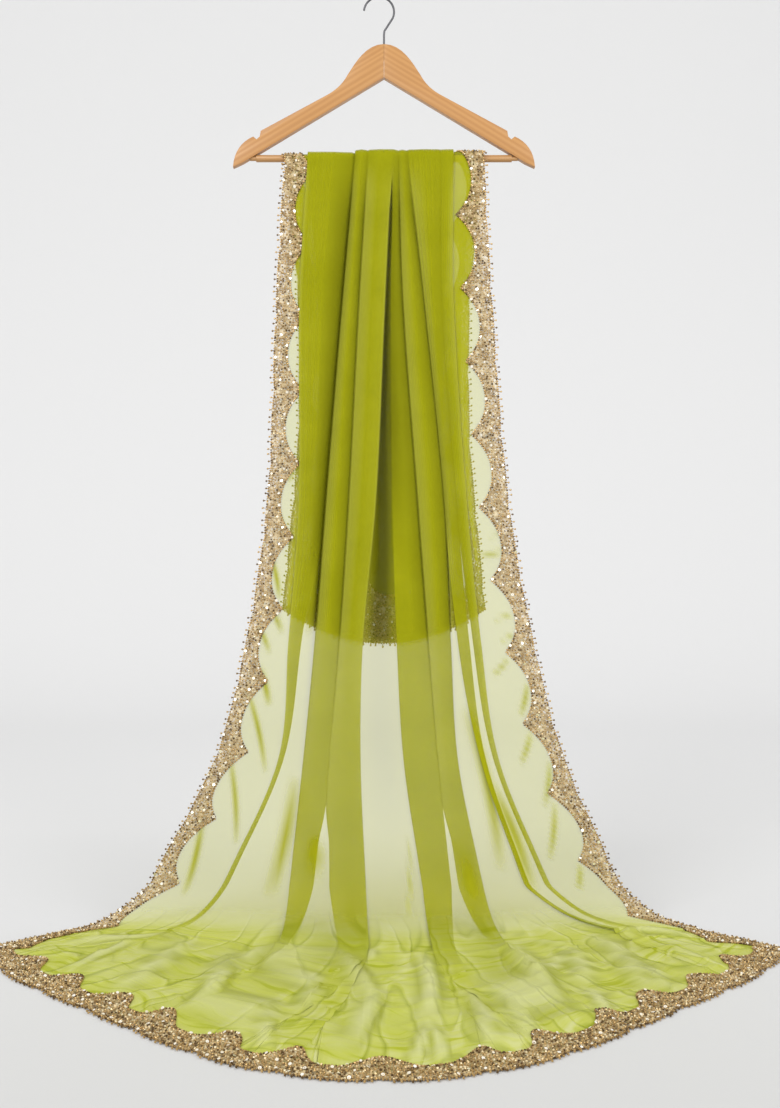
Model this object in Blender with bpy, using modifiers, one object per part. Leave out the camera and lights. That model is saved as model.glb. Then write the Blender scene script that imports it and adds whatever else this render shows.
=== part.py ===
"""A dupatta stole hung over the trouser bar of a wooden hanger, its long front end trailing on the floor.

Metres, +Z up. The origin is the top of the hook's inside, where the rail bears. The front faces -Y.
The cloth is one length, shown as four stretches: the back drop, the turn over the bar, the front drop
and the train. Each is a wall lofted through sections. A section crosses the cloth from its left edge
to its right edge, and doubles back on itself at each pleat.
"""

import math
from collections import namedtuple

import bmesh
import bpy
from mathutils import Vector

# Driving dimensions
HANGER_X = 0.0073  # the hanger's middle stands this far right of the hook's top
BAR_Z = -0.2352  # centre of the trouser bar
BAR_RADIUS = 0.0052
FLOOR_Z = -1.350
FLOOR_DROP = BAR_Z - FLOOR_Z  # from the bar down to the floor
WALL = 0.0010  # cloth
BORDER_WALL = 0.0010  # beaded border
SEAM = 0.0003  # gap between neighbouring pieces
LAYER = 0.0018  # from one layer of a pleat to the next
BAR_CLEARANCE = 0.0006
LEAST_FOLD = 0.0025  # a pleat narrower than this stands up as a ridge, and then opens
LEAST_RAMP = 0.0004
OPENING = 0.6  # a pleat has gone flat once it has opened by this share of its width

# The front drop. Heights are distances below the bar, in metres. Each row of FOLDS gives one fold
# line's distance right of the hanger's middle, in millimetres, at those heights and at the floor.
HEIGHTS = (0.0, 0.21, 0.50, 0.71, 0.88, 1.06)
Fold = namedtuple("Fold", "name bar upper middle lower shin ankle floor")
FOLDS = (
    Fold("left_edge", -145, -157, -170, -201, -247, -342, -445),
    Fold("outer_left_pleat_left", -111, -123, -124, -139, -154, -234, -305),
    Fold("outer_left_pleat_right", -47, -72, -94, -121, -147, -227, -298),
    Fold("left_pleat_left", -42, -61, -85, -101, -117, -136, -142),
    Fold("left_pleat_right", -26, -40, -54, -68, -82, -102, -128),
    Fold("left_middle_pleat_left", -22, -34, -50, -63, -78, -78, -60),
    Fold("left_middle_pleat_right", 11, 1, -12, -31, -34, -26, -20),
    Fold("right_middle_pleat_left", 15, 10, 12, 19, 29, 56, 66),
    Fold("right_middle_pleat_right", 21, 27, 48, 64, 78, 97, 96),
    Fold("right_pleat_left", 25, 31, 53, 69, 82, 108, 147),
    Fold("right_pleat_right", 33, 58, 87, 97, 107, 143, 164),
    Fold("outer_right_pleat_left", 38, 63, 92, 108, 141, 204, 325),
    Fold("outer_right_pleat_right", 83, 84, 105, 124, 148, 211, 332),
    Fold("right_edge_pleat_left", 88, 89, 111, 130, 160, 234, 345),
    Fold("right_edge_pleat_right", 101, 101, 120, 141, 167, 241, 352),
    Fold("right_edge", 145, 157, 181, 218, 263, 343, 445),
)
FOLD_ROWS = (0.0006, 0.06, 0.14, 0.22, 0.31, 0.40, 0.50, 0.60, 0.70, 0.79, 0.88, 0.97, 1.06)
VALLEY_DEPTH = 0.010  # how far the middle of the front sinks between its two pairs of pleats, at most
VALLEY_SLOPE = 0.3  # its depth for its width, where it is narrow
VALLEY_START = 0.2  # it has its whole depth this far below the bar
FRONT_BOW = 0.030  # how far the middle has come forward at the ankle

# Pleats from left to right. A pleat that comes forward carries the cloth on two layers nearer the front.
Pleat = namedtuple("Pleat", "name comes_forward")
PLEATS = (
    Pleat("outer_left_pleat", False),
    Pleat("left_pleat", True),
    Pleat("left_middle_pleat", False),
    Pleat("right_middle_pleat", True),
    Pleat("right_pleat", False),
    Pleat("outer_right_pleat", True),
    Pleat("right_edge_pleat", False),
)

# A column of a section: its fold line, its layer, the pleat that sets its layer, and its step through
# the fold, from 0 to 3, or its share of the way across the valley.
Column = namedtuple("Column", "line layer pleat step")

# The foot, where the drop turns forward onto the floor: how far along the turn, the height above the
# floor, and for the middle and the side edges the distance forward and the tilt of the cloth's face.
Foot = namedtuple("Foot", "along rise middle_forward edge_forward middle_tilt edge_tilt")
FOOT_ROWS = (
    Foot(0.00, 0.057, 0.030, 0.008, 25, 12),
    Foot(0.35, 0.025, 0.055, 0.018, 50, 28),
    Foot(0.68, 0.007, 0.092, 0.031, 72, 55),
    Foot(1.00, 0.000, 0.140, 0.052, 90, 90),
)

# The train, a fan with its hem on a lobed arc.
FAN_CENTRE_Y = -0.060
FAN_RADIUS = 0.520
FAN_LOBE = 0.035  # the arc stands out by this at the middle and the corners, and in between draws in
FAN_HALF_ANGLE = math.radians(81)
TRAIN_ROWS = (0.006, 0.12, 0.24, 0.36, 0.48, 0.60, 0.72, 0.84, 1.0)
HEM_FLAT = 0.100  # the train lies flat this far in from its hem, under the border
RIPPLE_HEIGHT = 0.006
RIPPLES = 7
RIPPLE_MARGIN = 0.14  # share of the width that stays flat under each side border
RIPPLE_START = 0.5  # the ripples lie past this share of the train's length, where the pleats have opened

# The back drop
Back = namedtuple("Back", "down spread")
BACK_ROWS = (
    Back(0.0006, 1.0),
    Back(0.09, 0.95),
    Back(0.20, 0.88),
    Back(0.33, 0.86),
    Back(0.46, 0.88),
    Back(0.58, 0.95),
    Back(0.71, 1.03),
)
BACK_EDGE_LIFT = 0.05  # the back hem's corners hang this much above its middle
TURN_STEPS = 6  # rows of cloth round the top of the bar

# The scalloped border
SCALLOP = 0.107
SIDE_NARROW = 0.020
SIDE_WIDE = 0.043
HEM_NARROW = 0.036
HEM_WIDE = 0.066
SCALLOP_STEPS = 5
SCALLOP_ROUNDNESS = 2.2  # the power that shapes a scallop between its points
LEAST_ROW_GAP = 0.004  # between neighbouring rows of a border
LEFT_PHASE = 0.020  # a scallop's point lies this far down the edge from the bar
RIGHT_PHASE = 0.085
FOLD_MARGIN = 0.004  # kept between a border and the next pleat
CORNER_START = 0.004  # the borders start this far from a corner
MITRE_GAP = 0.0012
BACK_MITRE = 1.0  # how fast a border widens from its mitre: the tangent of half the corner's angle
FRONT_MITRE = 1.5

# The hanger
ARM_THICKNESS = 0.012
BAR_HALF_LENGTH = 0.187
TENON_RADIUS = 0.0034
TENON_LENGTH = 0.009
WIRE_RADIUS = 0.0015
HOOK_RADIUS = 0.022
HOOK_SPAN = (-26, 172)  # degrees round the hook's circle, from the shank's side to the tip
SHANK_TOP_Z = -0.051
SHANK_BOTTOM_Z = -0.092
CROWN_Z = -0.0695
INNER_APEX_Z = -0.1179


def clear_scene():
    for thing in list(bpy.data.objects):
        bpy.data.objects.remove(thing, do_unlink=True)


def new_collection(name):
    collection = bpy.data.collections.new(name)
    bpy.context.scene.collection.children.link(collection)
    return collection


def new_material(name, colour, roughness, metallic=0.0):
    material = bpy.data.materials.new(name)
    material.use_nodes = True
    shader = material.node_tree.nodes["Principled BSDF"]
    shader.inputs["Base Color"].default_value = (*colour, 1.0)
    shader.inputs["Roughness"].default_value = roughness
    shader.inputs["Metallic"].default_value = metallic
    return material


def new_object(name, data, collection, material=None):
    thing = bpy.data.objects.new(name, data)
    collection.objects.link(thing)
    if material:
        data.materials.append(material)
    return thing


def mix(start, end, share):
    return start + (end - start) * share


def curve_through(heights, values, height):
    """The value at a height, on a smooth curve through the table's values."""
    last = len(heights) - 2
    i = max(0, min(last, sum(h <= height for h in heights) - 1))
    before = max(i - 1, 0)
    after = min(i + 2, len(heights) - 1)
    span = heights[i + 1] - heights[i]
    slope_in = (values[i + 1] - values[before]) / (heights[i + 1] - heights[before])
    slope_out = (values[after] - values[i]) / (heights[after] - heights[i])
    t = (height - heights[i]) / span
    return (
        values[i] * (2 * t**3 - 3 * t**2 + 1)
        + slope_in * span * (t**3 - 2 * t**2 + t)
        + values[i + 1] * (3 * t**2 - 2 * t**3)
        + slope_out * span * (t**3 - t**2)
    )


def hanging_lines(down):
    """Each fold line's distance right of the hanger's middle, this far below the bar."""
    return {
        fold.name: curve_through(HEIGHTS, fold[1:7], down) * 0.001
        for fold in FOLDS
    }


def floor_lines():
    return {fold.name: fold.floor * 0.001 for fold in FOLDS}


def edge_share(place, lines):
    """How far a place is from the middle, 0, towards the side panels, 1, which lie flat."""
    inner = lines["outer_left_pleat_right"] if place < 0 else lines["right_edge_pleat_right"]
    return min(1.0, (place / inner) ** 2)


def pleat_columns(pleat):
    """The four columns of a pleat, each with its fold line, its layer and its step through the fold."""
    left, right = pleat.name + "_left", pleat.name + "_right"
    layers = (0, 1, 1, 2) if pleat.comes_forward else (2, 1, 1, 0)
    return [
        Column(line, layer, pleat.name, step)
        for line, layer, step in zip((right, right, left, left), layers, range(4))
    ]


def section_plan():
    """The columns of every section, in order along the cloth from its left edge to its right.

    Besides the folds, a layer has a column wherever another layer turns in front of it or behind it,
    so that all layers bend at the same places and stay the same distance apart.
    """
    order = [fold.name for fold in FOLDS]
    turns = [Column("left_edge", 2, PLEATS[0].name, None)]
    for pleat in PLEATS:
        turns += pleat_columns(pleat)
    turns.append(Column("right_edge", 0, None, None))
    plan = [turns[0]]
    for here, there in zip(turns, turns[1:]):
        start, end = order.index(here.line), order.index(there.line)
        if end - start > 1 and here.layer == there.layer:
            for line in order[start + 1 : end]:
                plan.append(Column(line, here.layer, here.pleat or there.pleat, None))
                if line == "left_middle_pleat_right":
                    plan += [Column("valley", 0, None, share) for share in (0.25, 0.5, 0.75)]
        plan.append(there)
    return plan


def column_places(lines):
    """Each column's distance right of the middle."""
    places = []
    for column in PLAN:
        if column.line == "valley":
            start = lines["left_middle_pleat_right"]
            end = lines["right_middle_pleat_left"]
            places.append(mix(start, end, column.step))
        else:
            places.append(lines[column.line])
    return places


def flat_places():
    """Each column's place across the opened cloth, from 0 at the left edge to 1 at the right."""
    places = column_places(floor_lines())
    along = [0.0]
    for here, there in zip(places, places[1:]):
        along.append(along[-1] + abs(there - here))
    return [length / along[-1] for length in along]


def how_open(overlap, width):
    """1 while a pleat's layers lie over each other, falling to 0 once it has opened flat."""
    return max(0.0, min(1.0, 1.0 + overlap / (OPENING * width)))


def build_section(bases, normals, across):
    """One section's points: each column's base point, moved out by its layer.

    A pleat whose layers no longer lie over each other becomes a ramp, which sinks as it opens.
    """
    floor = floor_lines()
    first = {}
    for i, column in enumerate(PLAN):
        if column.step == 0:
            first[column.pleat] = i
    heights, folded = {}, {}
    for name, i in first.items():
        overlap = (bases[i] - bases[i + 3]).dot(across[i + 3])
        heights[name] = how_open(overlap, floor[name + "_right"] - floor[name + "_left"])
        folded[name] = overlap > LEAST_FOLD
    points = []
    for i, (column, base, normal) in enumerate(zip(PLAN, bases, normals)):
        layer = column.layer
        if column.pleat and column.line != "valley" and column.step is not None:
            start = first[column.pleat]
            if not folded[column.pleat]:
                middle = (bases[start] + bases[start + 3]) / 2
                half = max(LEAST_RAMP, (bases[start + 3] - bases[start]).length / 2)
                share = column.step / 3
                base = middle + across[start] * (half * (2 * share - 1))
                layer = mix(PLAN[start].layer, PLAN[start + 3].layer, share)
        points.append(base + normal * (layer * LAYER * heights.get(column.pleat, 0.0)))
    return points


PLAN = section_plan()
RIGHT = Vector((1, 0, 0))
FRONT_FACE_Y = -(BAR_RADIUS + BAR_CLEARANCE + WALL / 2)


def hanging_section(down):
    """A level section of the front drop."""
    lines = hanging_lines(down)
    places = column_places(lines)
    bow = FRONT_BOW * (down / HEIGHTS[-1]) ** 3
    edge_bow = FOOT_ROWS[0].edge_forward * (down / HEIGHTS[-1]) ** 3
    gap = lines["right_middle_pleat_left"] - lines["left_middle_pleat_right"]
    bases = []
    for column, place in zip(PLAN, places):
        forward = mix(bow, edge_bow, edge_share(place, lines))
        if column.line == "valley":
            depth = min(VALLEY_DEPTH, VALLEY_SLOPE * gap) * min(1.0, down / VALLEY_START)
            forward -= depth * math.sin(math.pi * column.step)
        bases.append(Vector((HANGER_X + place, FRONT_FACE_Y - forward, BAR_Z - down)))
    normals = [Vector((0, -1, 0))] * len(bases)
    return build_section(bases, normals, [RIGHT] * len(bases))


def foot_section(foot):
    """A section of the turn from the drop onto the floor."""
    above, below = hanging_lines(HEIGHTS[-1]), floor_lines()
    lines = {name: mix(above[name], below[name], foot.along) for name in above}
    bases, normals = [], []
    for place in column_places(lines):
        share = edge_share(place, lines)
        forward = mix(foot.middle_forward, foot.edge_forward, share)
        tilt = math.radians(mix(foot.middle_tilt, foot.edge_tilt, share))
        height = FLOOR_Z + WALL / 2 + foot.rise
        bases.append(Vector((HANGER_X + place, FRONT_FACE_Y - forward, height)))
        normals.append(Vector((0, -math.cos(tilt), math.sin(tilt))))
    return build_section(bases, normals, [RIGHT] * len(bases))


def hem_point(share):
    """A point of the train's hem, from 0 at the left corner to 1 at the right, and the way across."""
    angle = FAN_HALF_ANGLE * (2 * share - 1)
    radius = FAN_RADIUS + FAN_LOBE * math.cos(4 * angle)
    x = HANGER_X + radius * math.sin(angle)
    y = FAN_CENTRE_Y - radius * math.cos(angle)
    return Vector((x, y, FLOOR_Z + WALL / 2)), Vector((math.cos(angle), math.sin(angle), 0))


def floor_point(place):
    """A point of the line where the drop meets the floor."""
    foot = FOOT_ROWS[-1]
    forward = mix(foot.middle_forward, foot.edge_forward, edge_share(place, floor_lines()))
    return Vector((HANGER_X + place, FRONT_FACE_Y - forward, FLOOR_Z + WALL / 2))


def train_section(share):
    """A section of the train, this share of the way from the foot to the hem."""
    up = Vector((0, 0, 1))
    bases, ways = [], []
    for place, flat in zip(column_places(floor_lines()), flat_places()):
        start = floor_point(place)
        end, across = hem_point(flat)
        point = start.lerp(end, share)
        from_hem = (end - point).length - HEM_FLAT
        clear = max(0.0, min(1.0, from_hem / HEM_FLAT))
        if share > RIPPLE_START and RIPPLE_MARGIN < flat < 1 - RIPPLE_MARGIN:
            point.z += RIPPLE_HEIGHT * clear * math.sin(RIPPLES * math.pi * flat) ** 2
        bases.append(point)
        ways.append(across)
    return build_section(bases, [up] * len(bases), ways)


def turn_section(angle):
    """A section of the turn over the bar, from 0 at its front to pi at its back."""
    normal = Vector((0, -math.cos(angle), math.sin(angle)))
    axis = Vector((HANGER_X, 0, BAR_Z))
    bases = [
        axis + Vector((place, 0, 0)) - normal * FRONT_FACE_Y
        for place in column_places(hanging_lines(0))
    ]
    return build_section(bases, [normal] * len(bases), [RIGHT] * len(bases))


def back_section(back):
    """A section of the back drop, whose hem hangs lowest in the middle."""
    places = column_places(hanging_lines(0))
    reach = FOLDS[-1].bar * 0.001
    bases = []
    for place in places:
        lift = BACK_EDGE_LIFT * (back.down / BACK_ROWS[-1].down) * (place / reach) ** 2
        bases.append(Vector((HANGER_X + place * back.spread, -FRONT_FACE_Y, BAR_Z - back.down + lift)))
    if back is BACK_ROWS[0]:
        for base in bases:
            base.z = BAR_Z - back.down
    return build_section(bases, [Vector((0, 1, 0))] * len(bases), [RIGHT] * len(bases))


def loft(name, rows, thickness, collection, material):
    """A wall of even thickness through rows of points, with its outer face on the rows' left."""
    mesh = bpy.data.meshes.new(name)
    form = bmesh.new()
    grid = [[form.verts.new(point) for point in row] for row in rows]
    for upper, lower in zip(grid, grid[1:]):
        for i in range(len(upper) - 1):
            form.faces.new((upper[i], lower[i], lower[i + 1], upper[i + 1]))
    form.to_mesh(mesh)
    form.free()
    wall = new_object(name, mesh, collection, material)
    thicken = wall.modifiers.new("wall", "SOLIDIFY")
    thicken.thickness = thickness
    thicken.offset = 0
    thicken.use_even_offset = True
    thicken.use_quality_normals = True
    return wall


def scallop_width(along, phase, narrow, wide):
    """The border's width at a distance along its edge: widest at the points between scallops."""
    turn = ((along - phase) / SCALLOP) % 1.0
    return mix(narrow, wide, abs(2 * turn - 1) ** SCALLOP_ROUNDNESS)


def edge_track(rows, first, second, limit, on_floor):
    """For each row, the cloth's edge point, the way in from it, and how far in a border may reach."""
    track = []
    for i, row in enumerate(rows):
        way = (row[second] - row[first]).normalized()
        if i >= on_floor:
            along = row[first] - rows[i - 1][first]
            across = Vector((-along.y, along.x, 0)).normalized()
            way = across if across.dot(way) > 0 else -across
        reach = (row[limit] - row[first]).length - FOLD_MARGIN
        track.append((row[first], way, reach))
    return track


def row_normals(rows, first, second):
    """The cloth's outward normal along its edge at each row."""
    normals = []
    for i, row in enumerate(rows):
        above, below = rows[max(i - 1, 0)], rows[min(i + 1, len(rows) - 1)]
        down = below[first] - above[first]
        across = row[second] - row[first]
        if second < first:
            across = -across
        normals.append(down.cross(across).normalized())
    return normals


def side_border_rows(track, normals, phase, lift):
    """The rows of a side border: one at each row of the cloth and at each step of the scallops."""
    lengths = [0.0]
    for (here, _, _), (there, _, _) in zip(track, track[1:]):
        lengths.append(lengths[-1] + (there - here).length)
    step = SCALLOP / SCALLOP_STEPS
    stops = [phase % step + i * step for i in range(int(lengths[-1] / step) + 1)]
    stops = [stop for stop in stops if min(abs(stop - length) for length in lengths) > LEAST_ROW_GAP]
    whole = lengths[-1]
    stops = [stop for stop in stops if stop < whole] + lengths[1:-1]
    rows = []
    for stop in sorted(stops + [CORNER_START, whole - CORNER_START]):
        i = max(0, min(len(lengths) - 2, sum(length <= stop for length in lengths) - 1))
        t = (stop - lengths[i]) / (lengths[i + 1] - lengths[i])
        edge = track[i][0].lerp(track[i + 1][0], t)
        way = track[i][1].lerp(track[i + 1][1], t).normalized()
        normal = normals[i].lerp(normals[i + 1], t).normalized()
        reach = mix(track[i][2], track[i + 1][2], t)
        mitre = min(stop * BACK_MITRE, (whole - stop) * FRONT_MITRE) - MITRE_GAP
        width = min(scallop_width(stop, phase, SIDE_NARROW, SIDE_WIDE), reach, mitre)
        outer = edge + normal * lift
        rows.append([outer, outer + way * width])
    return rows


def build_cloth(parts, chiffon, beadwork):
    back = [back_section(row) for row in BACK_ROWS]
    turn = [turn_section(math.pi * i / TURN_STEPS) for i in range(TURN_STEPS + 1)]
    front = [hanging_section(down) for down in FOLD_ROWS[:-1]]
    front += [foot_section(foot) for foot in FOOT_ROWS]
    train = [train_section(share) for share in TRAIN_ROWS]
    loft("stole_back", back[::-1], WALL, parts, chiffon)
    loft("stole_over_bar", turn[::-1], WALL, parts, chiffon)
    loft("stole_front", front, WALL, parts, chiffon)
    loft("stole_train", train, WALL, parts, chiffon)

    # The side borders run from the back hem over the bar to the front corners.
    lift = WALL / 2 + SEAM + BORDER_WALL / 2
    to_bar = back[::-1] + turn[1:-1][::-1]
    whole = to_bar + front + train[1:]
    on_floor = len(to_bar) + len(front)
    last = len(PLAN) - 1
    for name, first, second, limit, phase in (
        ("border_left", 0, 2, 2, LEFT_PHASE),
        ("border_right", last, last - 1, last - 1, RIGHT_PHASE),
    ):
        length_to_bar = sum(
            (there[first] - here[first]).length for here, there in zip(to_bar, to_bar[1:])
        )
        track = edge_track(whole, first, second, limit, on_floor)
        normals = row_normals(whole, first, second)
        rows = side_border_rows(track, normals, phase + length_to_bar, lift)
        loft(name, rows, BORDER_WALL, parts, beadwork)
    build_front_hem_border(parts, beadwork, lift)
    build_back_hem_border(parts, beadwork, back[-1], lift)


def build_front_hem_border(parts, beadwork, lift):
    """The border along the train's hem, mitred at both corners."""
    steps = 400
    edge = [hem_point(i / steps)[0] for i in range(steps + 1)]
    length = sum((there - here).length for here, there in zip(edge, edge[1:]))
    count = round(length / SCALLOP)
    stops = [i / (count * SCALLOP_STEPS) for i in range(1, count * SCALLOP_STEPS)]
    ends = CORNER_START / length
    rows = []
    for share in [ends] + stops + [1 - ends]:
        point, across = hem_point(share)
        inward = Vector((-across.y, across.x, 0))
        mitre = min(share, 1 - share) * length * FRONT_MITRE - MITRE_GAP
        width = min(scallop_width(share * count * SCALLOP, 0, HEM_NARROW, HEM_WIDE), mitre)
        outer = point + Vector((0, 0, lift))
        rows.append([outer, outer + inward * width])
    loft("border_front_hem", rows, BORDER_WALL, parts, beadwork)


def build_back_hem_border(parts, beadwork, hem, lift):
    """The border along the back drop's hem, over the outermost layer of its pleats."""
    left, right = hem[0], hem[-1]
    length = right.x - left.x
    count = round(length / SCALLOP)
    reach = FOLDS[-1].bar * 0.001 * BACK_ROWS[-1].spread
    stops = [i / (count * SCALLOP_STEPS) for i in range(1, count * SCALLOP_STEPS)]
    ends = CORNER_START / length
    rows = []
    for share in [ends] + stops + [1 - ends]:
        x = mix(left.x, right.x, share)
        lift_here = BACK_EDGE_LIFT * ((x - HANGER_X) / reach) ** 2
        low = Vector((x, left.y + lift, BAR_Z - BACK_ROWS[-1].down + lift_here))
        mitre = min(share, 1 - share) * length * BACK_MITRE - MITRE_GAP
        width = min(scallop_width(share * count * SCALLOP, 0, HEM_NARROW, HEM_WIDE), mitre)
        rows.append([low, low + Vector((0, 0, width))])
    loft("border_back_hem", rows, BORDER_WALL, parts, beadwork)


def hanger_outline():
    """The right arm's outline, from the top of the crown round the tip and back to the inner apex."""
    start = Vector((SEAM / 2, CROWN_Z))
    crown = bezier(start, Vector((0.026, CROWN_Z)), Vector((0.042, -0.097)), Vector((0.053, -0.1142)))
    neck = bezier(crown[-1], Vector((0.062, -0.131)), Vector((0.074, -0.139)), Vector((0.086, -0.1455)))
    notch = [Vector(p) for p in ((0.180, -0.1962), (0.1815, -0.2045), (0.186, -0.2085), (0.191, -0.2045))]
    tip = bezier(notch[-1], Vector((0.208, -0.212)), Vector((0.219, -0.226)), Vector((0.2205, -0.249)))
    apex = Vector((SEAM / 2, INNER_APEX_Z))
    return crown + neck[1:] + notch + tip[1:] + [Vector((0.206, -0.2422)), apex]


def bezier(start, first, second, end, steps=8):
    """Points along a cubic curve."""
    points = []
    for i in range(steps + 1):
        t = i / steps
        u = 1 - t
        points.append(start * u**3 + first * (3 * u * u * t) + second * (3 * u * t * t) + end * t**3)
    return points


def flat_piece(name, outline, thickness, collection, material):
    """A flat outline in the X-Z plane, given its thickness along Y, as a mesh."""
    curve = bpy.data.curves.new(name, "CURVE")
    curve.dimensions = "2D"
    curve.fill_mode = "BOTH"
    curve.extrude = thickness / 2
    spline = curve.splines.new("POLY")
    spline.points.add(len(outline) - 1)
    for point, place in zip(spline.points, outline):
        point.co = (place.x, place.y, 0, 1)
    spline.use_cyclic_u = True
    guide = new_object(name + "_outline", curve, collection)
    guide.rotation_euler = (math.pi / 2, 0, 0)
    guide.location = (HANGER_X, 0, 0)
    bpy.context.view_layer.update()
    evaluated = guide.evaluated_get(bpy.context.evaluated_depsgraph_get())
    mesh = bpy.data.meshes.new_from_object(evaluated)
    mesh.transform(guide.matrix_world)
    form = bmesh.new()
    form.from_mesh(mesh)
    bmesh.ops.remove_doubles(form, verts=form.verts, dist=0.00001)
    bmesh.ops.recalc_face_normals(form, faces=form.faces)
    form.to_mesh(mesh)
    form.free()
    mesh.name = name
    mesh.materials.clear()
    bpy.data.objects.remove(guide, do_unlink=True)
    return new_object(name, mesh, collection, material)


def cut(thing, cutter):
    hole = thing.modifiers.new("hole", "BOOLEAN")
    hole.operation = "DIFFERENCE"
    hole.object = cutter


def new_cutter(name, radius, length, location, turn, collection):
    bpy.ops.mesh.primitive_cylinder_add(
        vertices=24, radius=radius, depth=length, location=location, rotation=turn
    )
    cutter = bpy.context.object
    cutter.name = name
    for other in list(cutter.users_collection):
        other.objects.unlink(cutter)
    collection.objects.link(cutter)
    cutter.hide_render = True
    cutter.display_type = "WIRE"
    return cutter


def turned_bar(parts, wood):
    """The trouser bar: a dowel with a thinner tenon at each end, turned about its length."""
    end = BAR_HALF_LENGTH + TENON_LENGTH
    profile = (
        (0, end),
        (TENON_RADIUS, end),
        (TENON_RADIUS, BAR_HALF_LENGTH),
        (BAR_RADIUS, BAR_HALF_LENGTH),
        (BAR_RADIUS, -BAR_HALF_LENGTH),
        (TENON_RADIUS, -BAR_HALF_LENGTH),
        (TENON_RADIUS, -end),
        (0, -end),
    )
    mesh = bpy.data.meshes.new("hanger_bar")
    mesh.from_pydata([(radius, 0, z) for radius, z in profile], [(i, i + 1) for i in range(7)], [])
    bar = new_object("hanger_bar", mesh, parts, wood)
    bar.location = (HANGER_X, 0, BAR_Z)
    bar.rotation_euler = (0, math.pi / 2, 0)
    turning = bar.modifiers.new("turning", "SCREW")
    turning.steps = 24
    turning.render_steps = 24
    turning.use_merge_vertices = True
    turning.merge_threshold = 0.0001
    return bar


def hook_wire(parts, steel):
    """The hook: a straight shank up from the crown, a lean to the right, and a round crook."""
    start, stop = (math.radians(angle) for angle in HOOK_SPAN)
    middle_z = WIRE_RADIUS - HOOK_RADIUS
    crook = []
    turns = 16
    for i in range(turns + 1):
        angle = mix(start, stop, i / turns)
        crook.append((HOOK_RADIUS * math.cos(angle), 0, middle_z + HOOK_RADIUS * math.sin(angle)))
    shank = [(HANGER_X, 0, SHANK_BOTTOM_Z), (HANGER_X, 0, SHANK_TOP_Z), (HANGER_X + 0.0012, 0, -0.047)]
    curve = bpy.data.curves.new("hanger_hook", "CURVE")
    curve.dimensions = "3D"
    curve.bevel_depth = WIRE_RADIUS
    curve.bevel_resolution = 2
    curve.use_fill_caps = True
    spline = curve.splines.new("POLY")
    route = shank + crook
    spline.points.add(len(route) - 1)
    for point, place in zip(spline.points, route):
        point.co = (*place, 1)
    return new_object("hanger_hook", curve, parts, steel)


def build_hanger(parts, cutters, wood, steel):
    right = flat_piece("hanger_arm_right", hanger_outline(), ARM_THICKNESS, parts, wood)
    mirrored = [Vector((-point.x, point.y)) for point in hanger_outline()[::-1]]
    left = flat_piece("hanger_arm_left", mirrored, ARM_THICKNESS, parts, wood)
    bar_length = 2 * (BAR_HALF_LENGTH + TENON_LENGTH + SEAM)
    sideways = (0, math.pi / 2, 0)
    bar_place = (HANGER_X, 0, BAR_Z)
    shoulder_length = 2 * (BAR_HALF_LENGTH + SEAM)
    tenon_hole = new_cutter("tenon_hole", TENON_RADIUS + SEAM, bar_length, bar_place, sideways, cutters)
    bar_seat = new_cutter("bar_seat", BAR_RADIUS + SEAM, shoulder_length, bar_place, sideways, cutters)
    shank_length = 2 * (CROWN_Z - SHANK_BOTTOM_Z + SEAM)
    shank_place = (HANGER_X, 0, CROWN_Z)
    shank_hole = new_cutter("shank_hole", WIRE_RADIUS + SEAM, shank_length, shank_place, (0, 0, 0), cutters)
    for arm in (left, right):
        for cutter in (tenon_hole, bar_seat, shank_hole):
            cut(arm, cutter)
    turned_bar(parts, wood)
    hook_wire(parts, steel)


def main():
    clear_scene()
    parts = new_collection("dupatta_stole_on_hanger")
    cutters = new_collection("cutters")
    chiffon = new_material("lime_chiffon", (0.40, 0.43, 0.02), 0.75)
    beadwork = new_material("gold_beadwork", (0.52, 0.36, 0.17), 0.45, 0.3)
    wood = new_material("light_wood", (0.66, 0.36, 0.14), 0.5)
    steel = new_material("dark_steel_wire", (0.10, 0.10, 0.11), 0.35, 1.0)
    build_cloth(parts, chiffon, beadwork)
    build_hanger(parts, cutters, wood, steel)


main()
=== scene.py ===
"""Looks of a dupatta stole hung over the trouser bar of a wooden hanger, its long front end on the floor.

Every piece is made in the frame's own metres: +Z up, the front facing -Y, the origin at the top of the
hook's inside. The sections follow the thing as it is put together: hanger, cloth, borders, studio.
"""

import math
from collections import namedtuple

import bmesh
import bpy
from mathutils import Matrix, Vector, noise


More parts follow.
